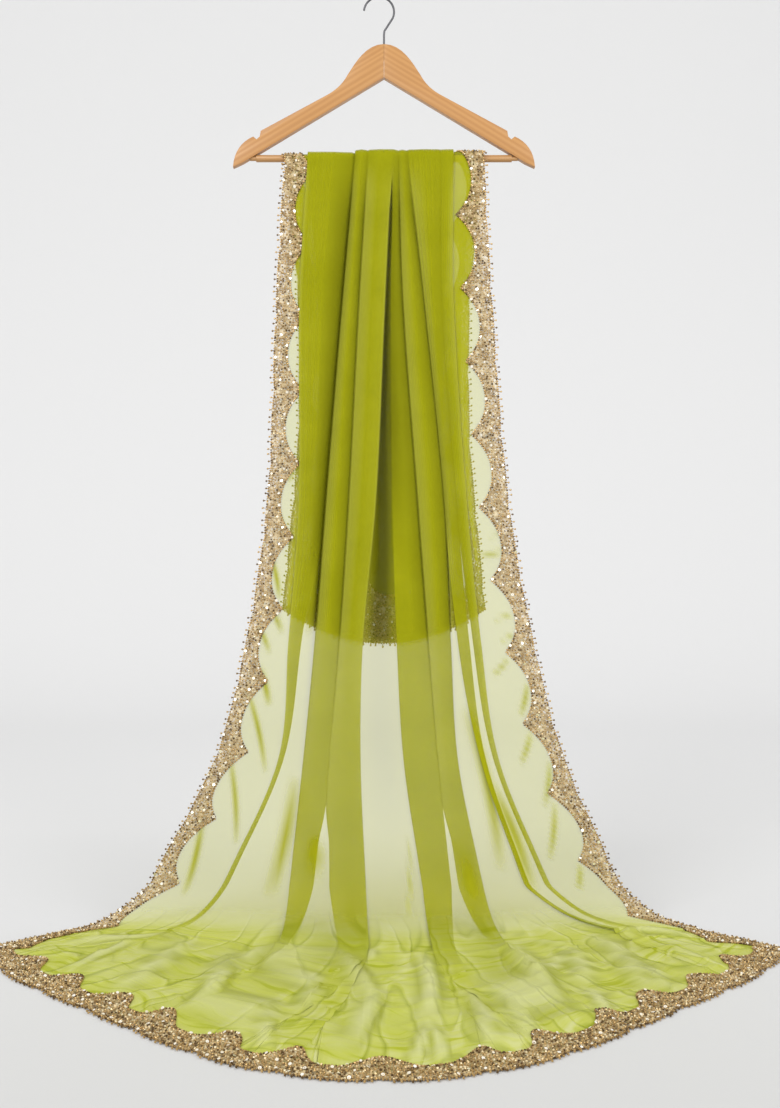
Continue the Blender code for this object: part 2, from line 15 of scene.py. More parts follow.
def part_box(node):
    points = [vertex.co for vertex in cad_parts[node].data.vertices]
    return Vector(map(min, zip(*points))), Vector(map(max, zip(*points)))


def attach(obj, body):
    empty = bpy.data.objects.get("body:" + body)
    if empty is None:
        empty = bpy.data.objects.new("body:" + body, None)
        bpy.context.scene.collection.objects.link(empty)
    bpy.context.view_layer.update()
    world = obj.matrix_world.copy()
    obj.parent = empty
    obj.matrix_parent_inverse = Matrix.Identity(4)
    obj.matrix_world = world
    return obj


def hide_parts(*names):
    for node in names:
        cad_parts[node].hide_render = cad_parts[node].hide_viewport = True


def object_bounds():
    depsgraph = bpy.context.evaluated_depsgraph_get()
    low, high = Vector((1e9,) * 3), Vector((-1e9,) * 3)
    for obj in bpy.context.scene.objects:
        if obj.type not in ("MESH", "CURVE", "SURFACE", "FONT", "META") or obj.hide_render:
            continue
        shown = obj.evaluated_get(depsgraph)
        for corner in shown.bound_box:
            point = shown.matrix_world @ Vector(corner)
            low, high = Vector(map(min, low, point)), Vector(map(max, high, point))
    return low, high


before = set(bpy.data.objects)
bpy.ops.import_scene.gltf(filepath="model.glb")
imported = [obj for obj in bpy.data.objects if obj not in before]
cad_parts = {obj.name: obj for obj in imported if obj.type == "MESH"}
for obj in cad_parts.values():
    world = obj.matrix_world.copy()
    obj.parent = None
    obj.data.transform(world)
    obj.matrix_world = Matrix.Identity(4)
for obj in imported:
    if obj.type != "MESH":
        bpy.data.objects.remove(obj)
cad_low, cad_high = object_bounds()

# ---------------------------------------------------------------------------------------------------
# Hanger arms and trouser bar. Two flat boards of pale hardwood meet on a glued joint at the middle,
# and a turned dowel runs between their tips. The edges are sanded round and the wood is lacquered.
# ---------------------------------------------------------------------------------------------------
ARM_EDGE_ROUND = 0.0018
BAR_EDGE_ROUND = 0.0006
ARM_SLOPE = math.radians(31)  # the arms fall away from the middle by this
SAME_POINT = 0.00002  # points closer than this are merged


def new_group(name, inputs, outputs):
    """An empty shader group with its sockets, and its input and output nodes."""
    group = bpy.data.node_groups.new(name, "ShaderNodeTree")
    for label, value in inputs:
        kind = "NodeSocketColor" if isinstance(value, tuple) else "NodeSocketFloat"
        kind = "NodeSocketVector" if value is None else kind
        socket = group.interface.new_socket(label, in_out="INPUT", socket_type=kind)
        if value is not None:
            socket.default_value = value
    for label, kind in outputs:
        group.interface.new_socket(label, in_out="OUTPUT", socket_type=kind)
    return group, group.nodes.new("NodeGroupInput"), group.nodes.new("NodeGroupOutput")


def new_node(tree, kind, links=(), **settings):
    """A node with its settings made; links are (input's name or number, value or another's socket)."""
    node = tree.nodes.new(kind)
    for key, value in settings.items():
        setattr(node, key, value)
    for key, value in links:
        if isinstance(value, bpy.types.NodeSocket):
            tree.links.new(value, node.inputs[key])
        else:
            node.inputs[key].default_value = value
    return node


def blend(tree, factor, first, second, how="MIX"):
    """Two colours mixed by a factor."""
    colours = [(0, factor), (6, first), (7, second)]
    return new_node(tree, "ShaderNodeMix", colours, data_type="RGBA", blend_type=how).outputs[2]


def blend_values(tree, factor, first, second):
    """Two numbers mixed by a factor."""
    return new_node(tree, "ShaderNodeMix", [(0, factor), (2, first), (3, second)]).outputs[0]


def calculate(tree, operation, *values, **settings):
    """Arithmetic on numbers or other nodes' sockets."""
    node = new_node(tree, "ShaderNodeMath", enumerate(values), operation=operation, **settings)
    return node.outputs[0]


def map_range(tree, value, old=(0.0, 1.0), new=(0.0, 1.0)):
    """A value's old range stretched to a new one, and held inside it."""
    limits = zip(("From Min", "From Max", "To Min", "To Max"), old + new)
    return new_node(tree, "ShaderNodeMapRange", [("Value", value), *limits]).outputs[0]


def bumped(tree, height, strength, distance, below=None):
    """A normal tipped by a height in metres, over the normal of a coarser bump."""
    links = [("Strength", strength), ("Distance", distance), ("Height", height)]
    if below:
        links.append(("Normal", below))
    return new_node(tree, "ShaderNodeBump", links).outputs[0]


def add_object(name, data):
    """A new object in the scene, at the origin."""
    made = bpy.data.objects.new(name, data)
    bpy.context.scene.collection.objects.link(made)
    return made


def new_material(name, roughness, metallic=0.0):
    """A material and its own Principled shader."""
    material = bpy.data.materials.new(name)
    material.use_nodes = True
    shader = material.node_tree.nodes["Principled BSDF"]
    shader.inputs["Roughness"].default_value = roughness
    shader.inputs["Metallic"].default_value = metallic
    return material, material.node_tree, shader


def colour_ramp(tree, factor, stops):
    """A ramp through (place, colour) stops."""
    ramp = new_node(tree, "ShaderNodeValToRGB", [("Fac", factor)])
    elements = ramp.color_ramp.elements
    while len(elements) < len(stops):
        elements.new(0.5)
    for element, (place, colour) in zip(elements, stops):
        element.position = place
        element.color = (*colour, 1)
    return ramp.outputs["Color"]


def wood_grain_group():
    """Long fibres and darker growth lines that run along X of the vector given."""
    group, start, end = new_group(
        "wood_grain",
        [("Vector", None), ("Pale", (0.78, 0.46, 0.20, 1)), ("Dark", (0.50, 0.24, 0.08, 1))],
        [("Color", "NodeSocketColor"), ("Height", "NodeSocketFloat"), ("Roughness", "NodeSocketFloat")],
    )
    long_way = new_node(group, "ShaderNodeMapping", [("Vector", start.outputs["Vector"])])
    long_way.inputs["Scale"].default_value = (3.0, 40.0, 40.0)
    figure = new_node(group, "ShaderNodeTexNoise", [("Vector", long_way.outputs[0]), ("Scale", 1.6)])
    figure.inputs["Detail"].default_value = 3.0
    rings = new_node(group, "ShaderNodeTexWave", [("Vector", long_way.outputs[0]), ("Scale", 1.1)])
    rings.bands_direction = "Z"
    rings.inputs["Distortion"].default_value = 5.0
    rings.inputs["Detail"].default_value = 2.5
    rings.inputs["Detail Scale"].default_value = 0.7
    fibre_way = new_node(group, "ShaderNodeMapping", [("Vector", start.outputs["Vector"])])
    fibre_way.inputs["Scale"].default_value = (40.0, 1500.0, 1500.0)
    fibres = new_node(group, "ShaderNodeTexNoise", [("Vector", fibre_way.outputs[0]), ("Scale", 1.0)])
    both = blend_values(group, 0.45, figure.outputs["Fac"], rings.outputs["Fac"])
    with_fibres = blend_values(group, 0.25, both, fibres.outputs["Fac"])
    figured = map_range(group, with_fibres, (0.30, 0.66))
    colour = blend(group, figured, start.outputs["Pale"], start.outputs["Dark"])
    satin = map_range(group, figured, new=(0.36, 0.50))
    group.links.new(colour, end.inputs["Color"])
    group.links.new(fibres.outputs["Fac"], end.inputs["Height"])
    group.links.new(satin, end.inputs["Roughness"])
    return group


def lacquered_wood(name, turn, pale, dark):
    """Wood whose grain is turned about Y to follow its board."""
    material, tree, shader = new_material(name, 0.42)
    place = new_node(tree, "ShaderNodeTexCoord")
    along = new_node(tree, "ShaderNodeMapping", [("Vector", place.outputs["Object"])])
    along.inputs["Rotation"].default_value = (0, turn, 0)
    grain = new_node(tree, "ShaderNodeGroup", node_tree=WOOD_GRAIN)
    tree.links.new(along.outputs[0], grain.inputs["Vector"])
    grain.inputs["Pale"].default_value = (*pale, 1)
    grain.inputs["Dark"].default_value = (*dark, 1)
    tree.links.new(grain.outputs["Color"], shader.inputs["Base Color"])
    tree.links.new(grain.outputs["Roughness"], shader.inputs["Roughness"])
    tree.links.new(bumped(tree, grain.outputs["Height"], 0.25, 0.0003), shader.inputs["Normal"])
    shader.inputs["Coat Weight"].default_value = 0.25
    shader.inputs["Coat Roughness"].default_value = 0.25
    return material


def rounded_copy(node, name, width):
    """A CAD piece's shape with its triangles merged and its edges sanded round."""
    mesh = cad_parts[node].data.copy()
    mesh.name = name
    form = bmesh.new()
    form.from_mesh(mesh)
    bmesh.ops.remove_doubles(form, verts=form.verts, dist=SAME_POINT)
    bmesh.ops.dissolve_limit(
        form, angle_limit=math.radians(2), verts=form.verts, edges=form.edges, delimit=set()
    )
    form.to_mesh(mesh)
    form.free()
    piece = add_object(name, mesh)
    mesh.materials.clear()
    bevel = piece.modifiers.new("sanded", "BEVEL")
    bevel.width = width
    bevel.segments = 3
    bevel.limit_method = "ANGLE"
    bevel.angle_limit = math.radians(50)
    evaluated = piece.evaluated_get(bpy.context.evaluated_depsgraph_get())
    rounded = bpy.data.meshes.new_from_object(evaluated)
    piece.modifiers.clear()
    piece.data = rounded
    rounded.name = name
    rounded.shade_smooth()
    rounded.set_sharp_from_angle(angle=math.radians(35))
    return piece


WOOD_GRAIN = wood_grain_group()
for side, turn in (("left", -ARM_SLOPE), ("right", ARM_SLOPE)):
    arm = rounded_copy("hanger_arm_" + side, "hanger_board_" + side, ARM_EDGE_ROUND)
    wood = lacquered_wood("arm_wood_" + side, -turn, (0.51, 0.258, 0.082), (0.43, 0.200, 0.056))
    arm.data.materials.append(wood)
    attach(arm, "root")
    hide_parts("hanger_arm_" + side)
dowel = rounded_copy("hanger_bar", "hanger_dowel", BAR_EDGE_ROUND)
dowel.data.materials.append(lacquered_wood("dowel_wood", 0, (0.50, 0.275, 0.105), (0.42, 0.210, 0.070)))
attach(dowel, "root")
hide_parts("hanger_bar")

# ---------------------------------------------------------------------------------------------------
# Hook. One length of dark plated steel wire, bent to a round crook with a rounded tip, its shank
# sunk in the hanger's crown.
# ---------------------------------------------------------------------------------------------------
hook_low, hook_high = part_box("hanger_hook")
HANGER_X = sum(corner.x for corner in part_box("hanger_bar")) / 2
WIRE_RADIUS = (hook_high.y - hook_low.y) / 2
HOOK_RADIUS = 0.022
HOOK_START = math.radians(-26)
HOOK_END = math.radians(172)
HOOK_TURNS = 48
SHANK_TOP_Z = -0.054  # the wire is straight up to here, and then leans out to the crook
LEAN_START = Vector((HANGER_X + 0.0006, 0, -0.0485))
DOME = ((0.50, 0.87), (0.85, 0.55), (1.00, 0.15))  # the tip's reach and thickness, in wire radii


def hook_route():
    """The wire's middle line, from the foot of the shank to the tip."""
    centre_z = WIRE_RADIUS - HOOK_RADIUS
    angles = [HOOK_START + (HOOK_END - HOOK_START) * i / HOOK_TURNS for i in range(HOOK_TURNS + 1)]
    crook = [
        Vector((HOOK_RADIUS * math.cos(angle), 0, centre_z + HOOK_RADIUS * math.sin(angle)))
        for angle in angles
    ]
    shank = [Vector((HANGER_X, 0, hook_low.z)), Vector((HANGER_X, 0, SHANK_TOP_Z)), LEAN_START]
    lean = [LEAN_START.lerp(crook[0], i / 4) for i in (1, 2, 3)]
    return shank + lean + crook


def wire_piece(name, route, radius):
    """A round wire along a route, with a domed tip."""
    curve = bpy.data.curves.new(name, "CURVE")
    curve.dimensions = "3D"
    curve.bevel_depth = radius
    curve.bevel_resolution = 3
    curve.use_fill_caps = True
    spline = curve.splines.new("POLY")
    tip = (route[-1] - route[-2]).normalized()
    points = [(point, 1.0) for point in route]
    points += [(route[-1] + tip * radius * reach, thin) for reach, thin in DOME]
    spline.points.add(len(points) - 1)
    for target, (point, thin) in zip(spline.points, points):
        target.co = (*point, 1)
        target.radius = thin
    guide = add_object(name, curve)
    mesh = bpy.data.meshes.new_from_object(guide.evaluated_get(bpy.context.evaluated_depsgraph_get()))
    bpy.data.objects.remove(guide)
    form = bmesh.new()
    form.from_mesh(mesh)
    bmesh.ops.remove_doubles(form, verts=form.verts, dist=SAME_POINT)
    form.to_mesh(mesh)
    form.free()
    mesh.shade_smooth()
    mesh.set_sharp_from_angle(angle=math.radians(60))
    mesh.materials.clear()
    return add_object(name, mesh)


def plated_wire():
    """Dark nickel plate with fine scuffs."""
    material, tree, shader = new_material("dark_plated_wire", 0.3, 1.0)
    place = new_node(tree, "ShaderNodeTexCoord")
    scuffs = new_node(tree, "ShaderNodeTexNoise", [("Vector", place.outputs["Object"]), ("Scale", 900.0)])
    colour = colour_ramp(tree, scuffs.outputs["Fac"], ((0.3, (0.05, 0.05, 0.055)), (0.8, (0.20, 0.20, 0.21))))
    rough = map_range(tree, scuffs.outputs["Fac"], new=(0.22, 0.45))
    tree.links.new(colour, shader.inputs["Base Color"])
    tree.links.new(rough, shader.inputs["Roughness"])
    return material


hook = wire_piece("hanger_wire_hook", hook_route(), WIRE_RADIUS)
hook.data.materials.append(plated_wire())
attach(hook, "root")
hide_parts("hanger_hook")

# ---------------------------------------------------------------------------------------------------
# Cloth. One length of sheer lime chiffon, gathered by hand into flat pleats and laid over the bar, so
# that the short end hangs behind and the long end falls, turns forward and fans out on the floor.
# Each pleat doubles back on itself, which makes five layers, and it opens again on the way to the hem.
# ---------------------------------------------------------------------------------------------------
CUT_WIDTH = 1.45
CUT_LENGTH = 2.40
BAR_Z = sum(corner.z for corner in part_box("hanger_bar")) / 2
FLOOR_Z = cad_low.z
FLOOR_DROP = BAR_Z - FLOOR_Z
CLOTH_FROM_BAR = 0.0011  # the innermost layer's middle, out from the bar's surface
BAR_REACH = (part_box("hanger_bar")[1].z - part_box("hanger_bar")[0].z) / 2 + CLOTH_FROM_BAR
PLEAT_LAYERS = 5
PITCH = 0.0009  # from one layer of a pleat to the next

# Fold lines: millimetres right of the hanger's middle, at these distances below the bar and on the floor.
HEIGHTS = (0.0, 0.21, 0.50, 0.71, 0.88, 1.06)
Line = namedtuple("Line", "name bar upper middle lower shin ankle floor")
LINES = (
    Line("left_edge", -145, -157, -170, -201, -247, -342, -445),
    Line("outer_left_pleat_left", -111, -123, -124, -139, -154, -234, -305),
    Line("outer_left_pleat_right", -47, -72, -94, -121, -147, -227, -298),
    Line("left_pleat_left", -42, -61, -85, -101, -117, -136, -142),
    Line("left_pleat_right", -26, -40, -54, -68, -82, -102, -128),
    Line("left_middle_pleat_left", -22, -34, -50, -63, -78, -78, -60),
    Line("left_middle_pleat_right", 11, 1, -12, -31, -34, -26, -20),
    Line("right_middle_pleat_left", 15, 10, 12, 19, 29, 56, 66),
    Line("right_middle_pleat_right", 21, 27, 48, 64, 78, 97, 96),
    Line("right_pleat_left", 25, 31, 53, 69, 82, 108, 147),
    Line("right_pleat_right", 33, 58, 87, 97, 107, 143, 164),
    Line("outer_right_pleat_left", 38, 63, 92, 108, 141, 204, 325),
    Line("outer_right_pleat_right", 83, 84, 105, 124, 148, 211, 332),
    Line("right_edge_pleat_left", 88, 89, 111, 130, 160, 234, 345),
    Line("right_edge_pleat_right", 101, 101, 120, 141, 167, 241, 352),
    Line("right_edge", 145, 157, 181, 218, 263, 343, 445),
)

# Pleats from left to right, with the number of columns of cloth in the panel before each.
Pleat = namedtuple("Pleat", "name comes_forward columns_before")
PLEATS = (
    Pleat("outer_left_pleat", True, 40),
    Pleat("left_pleat", True, 9),
    Pleat("left_middle_pleat", False, 1),
    Pleat("right_middle_pleat", True, 14),
    Pleat("right_pleat", False, 1),
    Pleat("outer_right_pleat", True, 9),
    Pleat("right_edge_pleat", False, 5),
)
LAST_PANEL_COLUMNS = 40
LAYER_PLACES = (0.07, 0.5, 0.93)  # columns through each layer of a pleat
# A column of the cloth lies at a share of the way between its start and end lines, at a level counted in
# layers. The bulge is sideways, at a fold's turn.
Column = namedtuple("Column", "start end share level bulge pleat layer")


def mix(start, end, share):
    return start + (end - start) * share


def smooth_step(low, high, value):
    t = max(0.0, min(1.0, (value - low) / (high - low)))
    return t * t * (3 - 2 * t)


def curve_through(places, values, place):
    """The value at a place, on a smooth curve through a table's values."""
    i = max(0, min(len(places) - 2, sum(p <= place for p in places) - 1))
    before, after = max(i - 1, 0), min(i + 2, len(places) - 1)
    span = places[i + 1] - places[i]
    slope_in = (values[i + 1] - values[before]) / (places[i + 1] - places[before])
    slope_out = (values[after] - values[i]) / (places[after] - places[i])
    t = (place - places[i]) / span
    return (
        values[i] * (2 * t**3 - 3 * t**2 + 1)
        + slope_in * span * (t**3 - 2 * t**2 + t)
        + values[i + 1] * (3 * t**2 - 2 * t**3)
        + slope_out * span * (t**3 - t**2)
    )


def cloth_columns():
    """The cloth's columns from its left edge to its right, each at a share between two fold lines.

    Level counts layers out from the innermost: a pleat that comes forward climbs four layers, and the
    others go back down as many. A fold has one column at its turn, which bulges sideways.
    """
    columns = []
    line, level = "left_edge", 0
    for pleat in PLEATS:
        left, right = pleat.name + "_left", pleat.name + "_right"
        for i in range(pleat.columns_before):
            columns.append(Column(line, left, i / pleat.columns_before, level, 0, None, None))
        for layer in range(PLEAT_LAYERS):
            height = level + (layer if pleat.comes_forward else -layer)
            way = 1 if layer % 2 == 0 else -1
            for share in (0.0, *LAYER_PLACES, 1.0):
                place = share if way > 0 else 1 - share
                columns.append(Column(left, right, place, height, 0, pleat.name, layer))
            if layer < PLEAT_LAYERS - 1:
                turn = height + (0.5 if pleat.comes_forward else -0.5)
                edge = 1.0 if way > 0 else 0.0
                columns.append(Column(left, right, edge, turn, way, pleat.name, None))
        line, level = right, height
    for i in range(1, LAST_PANEL_COLUMNS + 1):
        columns.append(Column(line, "right_edge", i / LAST_PANEL_COLUMNS, level, 0, None, None))
    return columns


COLUMNS = cloth_columns()


# Neighbouring pleats lie under each other until they part: where they meet between the two fold lines, as
# a share of the gap, and the distances below the bar between which they come apart.
Gap = namedtuple("Gap", "left right meeting parting parted")
GAPS = (
    Gap("outer_left_pleat_right", "left_pleat_left", 1.0, 0.52, 0.70),
    Gap("left_pleat_right", "left_middle_pleat_left", 0.5, 0.93, 1.00),
    Gap("left_middle_pleat_right", "right_middle_pleat_left", 0.5, 0.01, 0.09),
    Gap("right_middle_pleat_right", "right_pleat_left", 0.0, 0.93, 1.00),
    Gap("right_pleat_right", "outer_right_pleat_left", 0.0, 0.52, 0.70),
    Gap("outer_right_pleat_right", "right_edge_pleat_left", 0.0, 0.52, 0.70),
)


def lines_below_bar(down, behind=False):
    """Where each fold line is, in metres. Behind the bar, the pleats stay together all the way down."""
    lines = {line.name: curve_through(HEIGHTS, line[1:7], down) * 0.001 for line in LINES}
    for gap in GAPS:
        together = 1.0 if behind else 1 - smooth_step(gap.parting, gap.parted, down)
        meeting = mix(lines[gap.left], lines[gap.right], gap.meeting)
        lines[gap.left] = mix(lines[gap.left], meeting, together)
        lines[gap.right] = mix(lines[gap.right], meeting + 0.0001, together)
    return lines


FLOOR_LINES = {line.name: line.floor * 0.001 for line in LINES}
FLOOR_WIDTH = FLOOR_LINES["right_edge"] - FLOOR_LINES["left_edge"]


def column_places(lines, bulge=1.0):
    """Each column's distance right of the middle."""
    return [
        mix(lines[c.start], lines[c.end], c.share) + c.bulge * PITCH / 2 * bulge
        for c in COLUMNS
    ]


def opened_places():
    """Each column's share of the way across the opened cloth."""
    places = column_places(FLOOR_LINES, 0)
    along = [0.0]
    for here, there in zip(places, places[1:]):
        along.append(along[-1] + abs(there - here))
    return [length / along[-1] for length in along]


def edge_share(place, lines):
    """From 0 at the middle to 1 at the side panels, which lie flat."""
    inner = lines["outer_left_pleat_right"] if place < 0 else lines["right_edge_pleat_right"]
    return min(1.0, (place / inner) ** 2)


# Grooves beside the folds of the front: the cloth sinks towards each from the left and stands up
# sharply at its right, and painted shadow lies along it. Depth and width are in millimetres.
Groove = namedtuple("Groove", "line depth width")
FRONT_GROOVES = (
    Groove("left_pleat_left", 8.0, 8),
    Groove("left_middle_pleat_left", 5.5, 4),
    Groove("right_middle_pleat_right", 5.5, 4),
    Groove("right_pleat_right", 5.5, 4),
    Groove("right_edge_pleat_left", 1.5, 9),
)
GROOVE_RISE = 0.0016
VALLEY_DEPTH = 0.011
SHADOW_DEPTH = 0.009  # a groove this deep takes the full painted shadow


def groove_depth(place, lines, down):
    """How far the front has sunk below its panels, beside the folds and in the middle valley."""
    start = mix(0.35, 1.0, smooth_step(0.0, 0.10, down))
    fade = start * (1 - 0.75 * smooth_step(0.60, 1.00, down))
    depth = 0.0
    for groove in FRONT_GROOVES:
        away = place - lines[groove.line]
        reach = groove.width * 0.001 if away < 0 else GROOVE_RISE
        depth += groove.depth * 0.001 * math.exp(-abs(away) / reach) * fade
    fold, hidden, end = (
        lines[name]
        for name in ("left_middle_pleat_right", "right_middle_pleat_left", "right_middle_pleat_right")
    )
    if fold < place < end:
        narrow = min(1.0, (end - fold) / 0.040)
        wall = smooth_step(0, 0.003, place - fold)
        rise = 1 - 0.55 * smooth_step(fold, hidden, place) - 0.45 * smooth_step(hidden, end, place)
        closing = start * (1 - smooth_step(0.38, 0.62, down))
        depth += VALLEY_DEPTH * mix(0.5, 1.0, narrow) * wall * rise * closing
        trough = math.sin(math.pi * min(1.0, (place - fold) / (hidden - fold)))
        open_stretch = smooth_step(0.38, 0.62, down) - smooth_step(0.85, 1.1, down)
        depth += VALLEY_DEPTH * 0.8 * trough * open_stretch
    return depth


SHARP_CRESTS = ("left_pleat_left", "left_middle_pleat_left", "right_middle_pleat_right", "right_pleat_right")
SOFT_CRESTS = ("outer_left_pleat_left", "left_middle_pleat_right", "right_edge_pleat_right")


def groove_crest(place, lines, down):
    """How strongly a point takes the painted highlight of the lit crest just right of a groove, from 0 to 1.
    """
    fade = smooth_step(0.0, 0.06, down) * (1 - 0.5 * smooth_step(0.60, 1.00, down))
    crest = 0.0
    for name in SHARP_CRESTS:
        crest = max(crest, math.exp(-(((place - lines[name] - 0.0022) / 0.0022) ** 2)))
    for name in SOFT_CRESTS:
        crest = max(crest, 0.7 * math.exp(-(((place - lines[name]) / 0.0025) ** 2)))
    return crest * fade


# Creases: small soft ridges that run in from the points of the border, and a few longer ones.
# Places are millimetres right of the middle and below the bar.
Crease = namedtuple("Crease", "x down end_x end_down height width")
FRONT_CREASES = (
    Crease(-128, 445, -142, 476, 1.6, 4),
    Crease(-153, 520, -146, 560, 1.4, 4),
    Crease(-166, 578, -152, 646, 2.0, 4),
    Crease(-167, 655, -149, 694, 1.8, 4),
    Crease(-186, 680, -166, 724, 1.8, 4),
    Crease(-162, 660, -146, 694, 1.2, 3),
    Crease(-182, 742, -167, 802, 2.2, 5),
    Crease(-202, 768, -172, 900, 2.6, 4),
    Crease(-226, 865, -215, 1004, 2.4, 4),
    Crease(-262, 952, -292, 1080, 3.0, 5),
    Crease(175, 574, 137, 583, 1.4, 4),
    Crease(178, 548, 150, 556, 0.9, 3),
    Crease(189, 665, 158, 676, 1.2, 3),
    Crease(192, 694, 168, 707, 1.2, 3),
    Crease(182, 731, 157, 757, 1.4, 4),
    Crease(209, 766, 198, 816, 1.8, 4),
    Crease(214, 838, 198, 886, 1.8, 4),
    Crease(241, 880, 233, 948, 1.8, 4),
    Crease(248, 940, 240, 1024, 2.2, 4),
    Crease(285, 1028, 281, 1070, 1.8, 4),
    Crease(35, 985, 31, 1130, 1.2, 3),
    Crease(-104, 560, -110, 700, 1.5, 7),
    Crease(-128, 900, -168, 1080, 2.6, 9),
    Crease(118, 800, 170, 1040, 2.6, 8),
    Crease(150, 900, 218, 1075, 2.0, 8),
    Crease(-100, 980, -96, 1100, 2.0, 5),
    Crease(104, 990, 128, 1110, 2.4, 5),
)
# The same on the floor: millimetres right of the middle and forward of the bar.
TRAIN_CREASES = (
    Crease(-140, 120, -165, 500, 12, 17),
    Crease(-205, 160, -222, 430, 8, 14),
    Crease(-150, 140, -235, 270, 7, 11),
    Crease(-268, 110, -330, 350, 6, 13),
    Crease(-350, 110, -410, 250, 5, 10),
    Crease(-137, 340, -133, 520, 5, 9),
    Crease(-70, 150, -18, 365, 9, 15),
    Crease(-8, 320, -44, 540, 8, 13),
    Crease(50, 170, 50, 455, 9, 12),
    Crease(50, 440, 28, 585, 6, 8),
    Crease(52, 440, 64, 585, 6, 8),
    Crease(160, 110, 203, 460, 13, 17),
    Crease(122, 250, 166, 510, 9, 13),
    Crease(290, 60, 325, 360, 8, 14),
    Crease(252, 140, 246, 330, 9, 13),
    Crease(246, 310, 262, 430, 5, 9),
    Crease(252, 150, 186, 300, 6, 10),
    Crease(150, 112, 256, 140, 7, 10),
    Crease(330, 60, 430, 90, 7, 12),
    Crease(320, 190, 355, 340, 6, 11),
    Crease(-22, 120, -15, 210, 5, 8),
    Crease(-300, 84, -440, 120, 6, 13),
    Crease(-100, 200, -90, 420, 5, 10),
    Crease(100, 330, 118, 520, 5, 10),
)


def crease_height(x, along, creases):
    """The creases at a point: their height in metres, and how strongly it lies on a top or a side."""
    height = strength = side = 0.0
    for crease in creases:
        run_x, run = crease.end_x - crease.x, crease.end_down - crease.down
        length = math.hypot(run_x, run)
        share = ((x - crease.x) * run_x + (along - crease.down) * run) / length**2
        if 0.0 < share < 1.0:
            bend = 0.03 * length * math.sin(math.pi * share)
            away = ((x - crease.x) * run - (along - crease.down) * run_x) / length - bend
            if abs(away) < 3 * crease.width:
                here = math.sin(math.pi * share) ** 0.7 * math.exp(-((away / crease.width) ** 2))
                height += crease.height * 0.001 * here
                strength = max(strength, here * min(1.0, crease.height / 2.0))
                slope = math.exp(-(((away / crease.width - 1.15) / 0.42) ** 2))
                slope += 0.8 * math.exp(-(((away / crease.width + 1.2) / 0.5) ** 2))
                side = max(side, slope * math.sin(math.pi * share) ** 0.7 * min(1.0, crease.height / 5))
    return height, strength, side


# The fall of the front and its turn onto the floor: at each station down the cloth, how far the middle
# and the side edges have come forward, and the height above the floor.
FRONT_BOW = 0.030
EDGE_BOW = 0.008
BOW_END = 1.06
Station = namedtuple("Station", "along middle_forward edge_forward height")
STATIONS = tuple(
    Station(d, FRONT_BOW * (d / BOW_END) ** 3, EDGE_BOW * (d / BOW_END) ** 3, FLOOR_DROP - d)
    for d in (0.0, 0.25, 0.50, 0.70, 0.82, 0.92, 1.00)
) + (
    Station(1.060, 0.033, 0.009, 0.055),
    Station(1.100, 0.055, 0.018, 0.026),
    Station(1.141, 0.092, 0.031, 0.008),
    Station(1.190, 0.140, 0.052, 0.0),
    Station(1.250, 0.200, 0.075, 0.0),
)
FOOT_END = 1.190  # the distance down the front at which it lies on the floor
FRONT_ROWS = 160
BACK_ROWS = 46
TURN_ROWS = 10
TRAIN_ROWS = 74
CLOTH_LIFT = 0.0006  # the train's lowest layer lies this far above the floor


def station_at(along, share):
    """How far forward and how high the front is, at a station, for a place's edge share."""
    places = [s.along for s in STATIONS]
    middle = curve_through(places, [s.middle_forward for s in STATIONS], along)
    edge = curve_through(places, [s.edge_forward for s in STATIONS], along)
    height = max(0.0, curve_through(places, [s.height for s in STATIONS], along))
    return mix(middle, edge, share), height + CLOTH_LIFT


# The back drop: how wide it hangs at each distance below the bar, as a share of its width on the bar.
Drop = namedtuple("Drop", "down spread")
BACK_DROPS = (
    Drop(0.0, 1.0),
    Drop(0.09, 0.95),
    Drop(0.20, 0.88),
    Drop(0.33, 0.86),
    Drop(0.46, 0.88),
    Drop(0.58, 0.95),
    Drop(0.71, 1.03),
)
BACK_EDGE_LIFT = 0.05
# A point of the cloth, and from 0 to 1: its painted shade, how far it is on a crease, its painted highlight,
# how far it is on the floor, in front of the back drop, and under the open outer part of a border.
Spot = namedtuple("Spot", "point dark crease pale floor doubled bare")
BARE_EDGE = (0.008, 0.014)  # the cloth comes in between these distances from its side edges
BARE_HEM = (0.014, 0.024)
SIDE_PANEL = 0.06  # this far in from its edges the hanging cloth is gathered closest
SIDE_PANEL_GATHER = 3.3
PLEAT_SHADE = 0.62  # painted shade: the folded layers are made this much darker where they come to the floor
BEHIND_SHADE = 0.10  # painted shade: the front is made this much darker where the back drop keeps the light from it


def back_spread(down):
    """The back drop's width at a distance below the bar, as a share of its width on the bar."""
    return curve_through([d.down for d in BACK_DROPS], [d.spread for d in BACK_DROPS], down)


def over_back_drop(place, down):
    """1 where a point of the front hangs in front of the back drop, falling to 0 past its edges."""
    hem = BACK_DROPS[-1].down - BACK_EDGE_LIFT * (place / BACK_HALF_WIDTH) ** 2
    half = BACK_HALF_WIDTH * back_spread(min(down, BACK_DROPS[-1].down))
    above = 1 - smooth_step(hem - 0.012, hem + 0.008, down)
    return above * (1 - smooth_step(half - 0.006, half + 0.001, abs(place)))


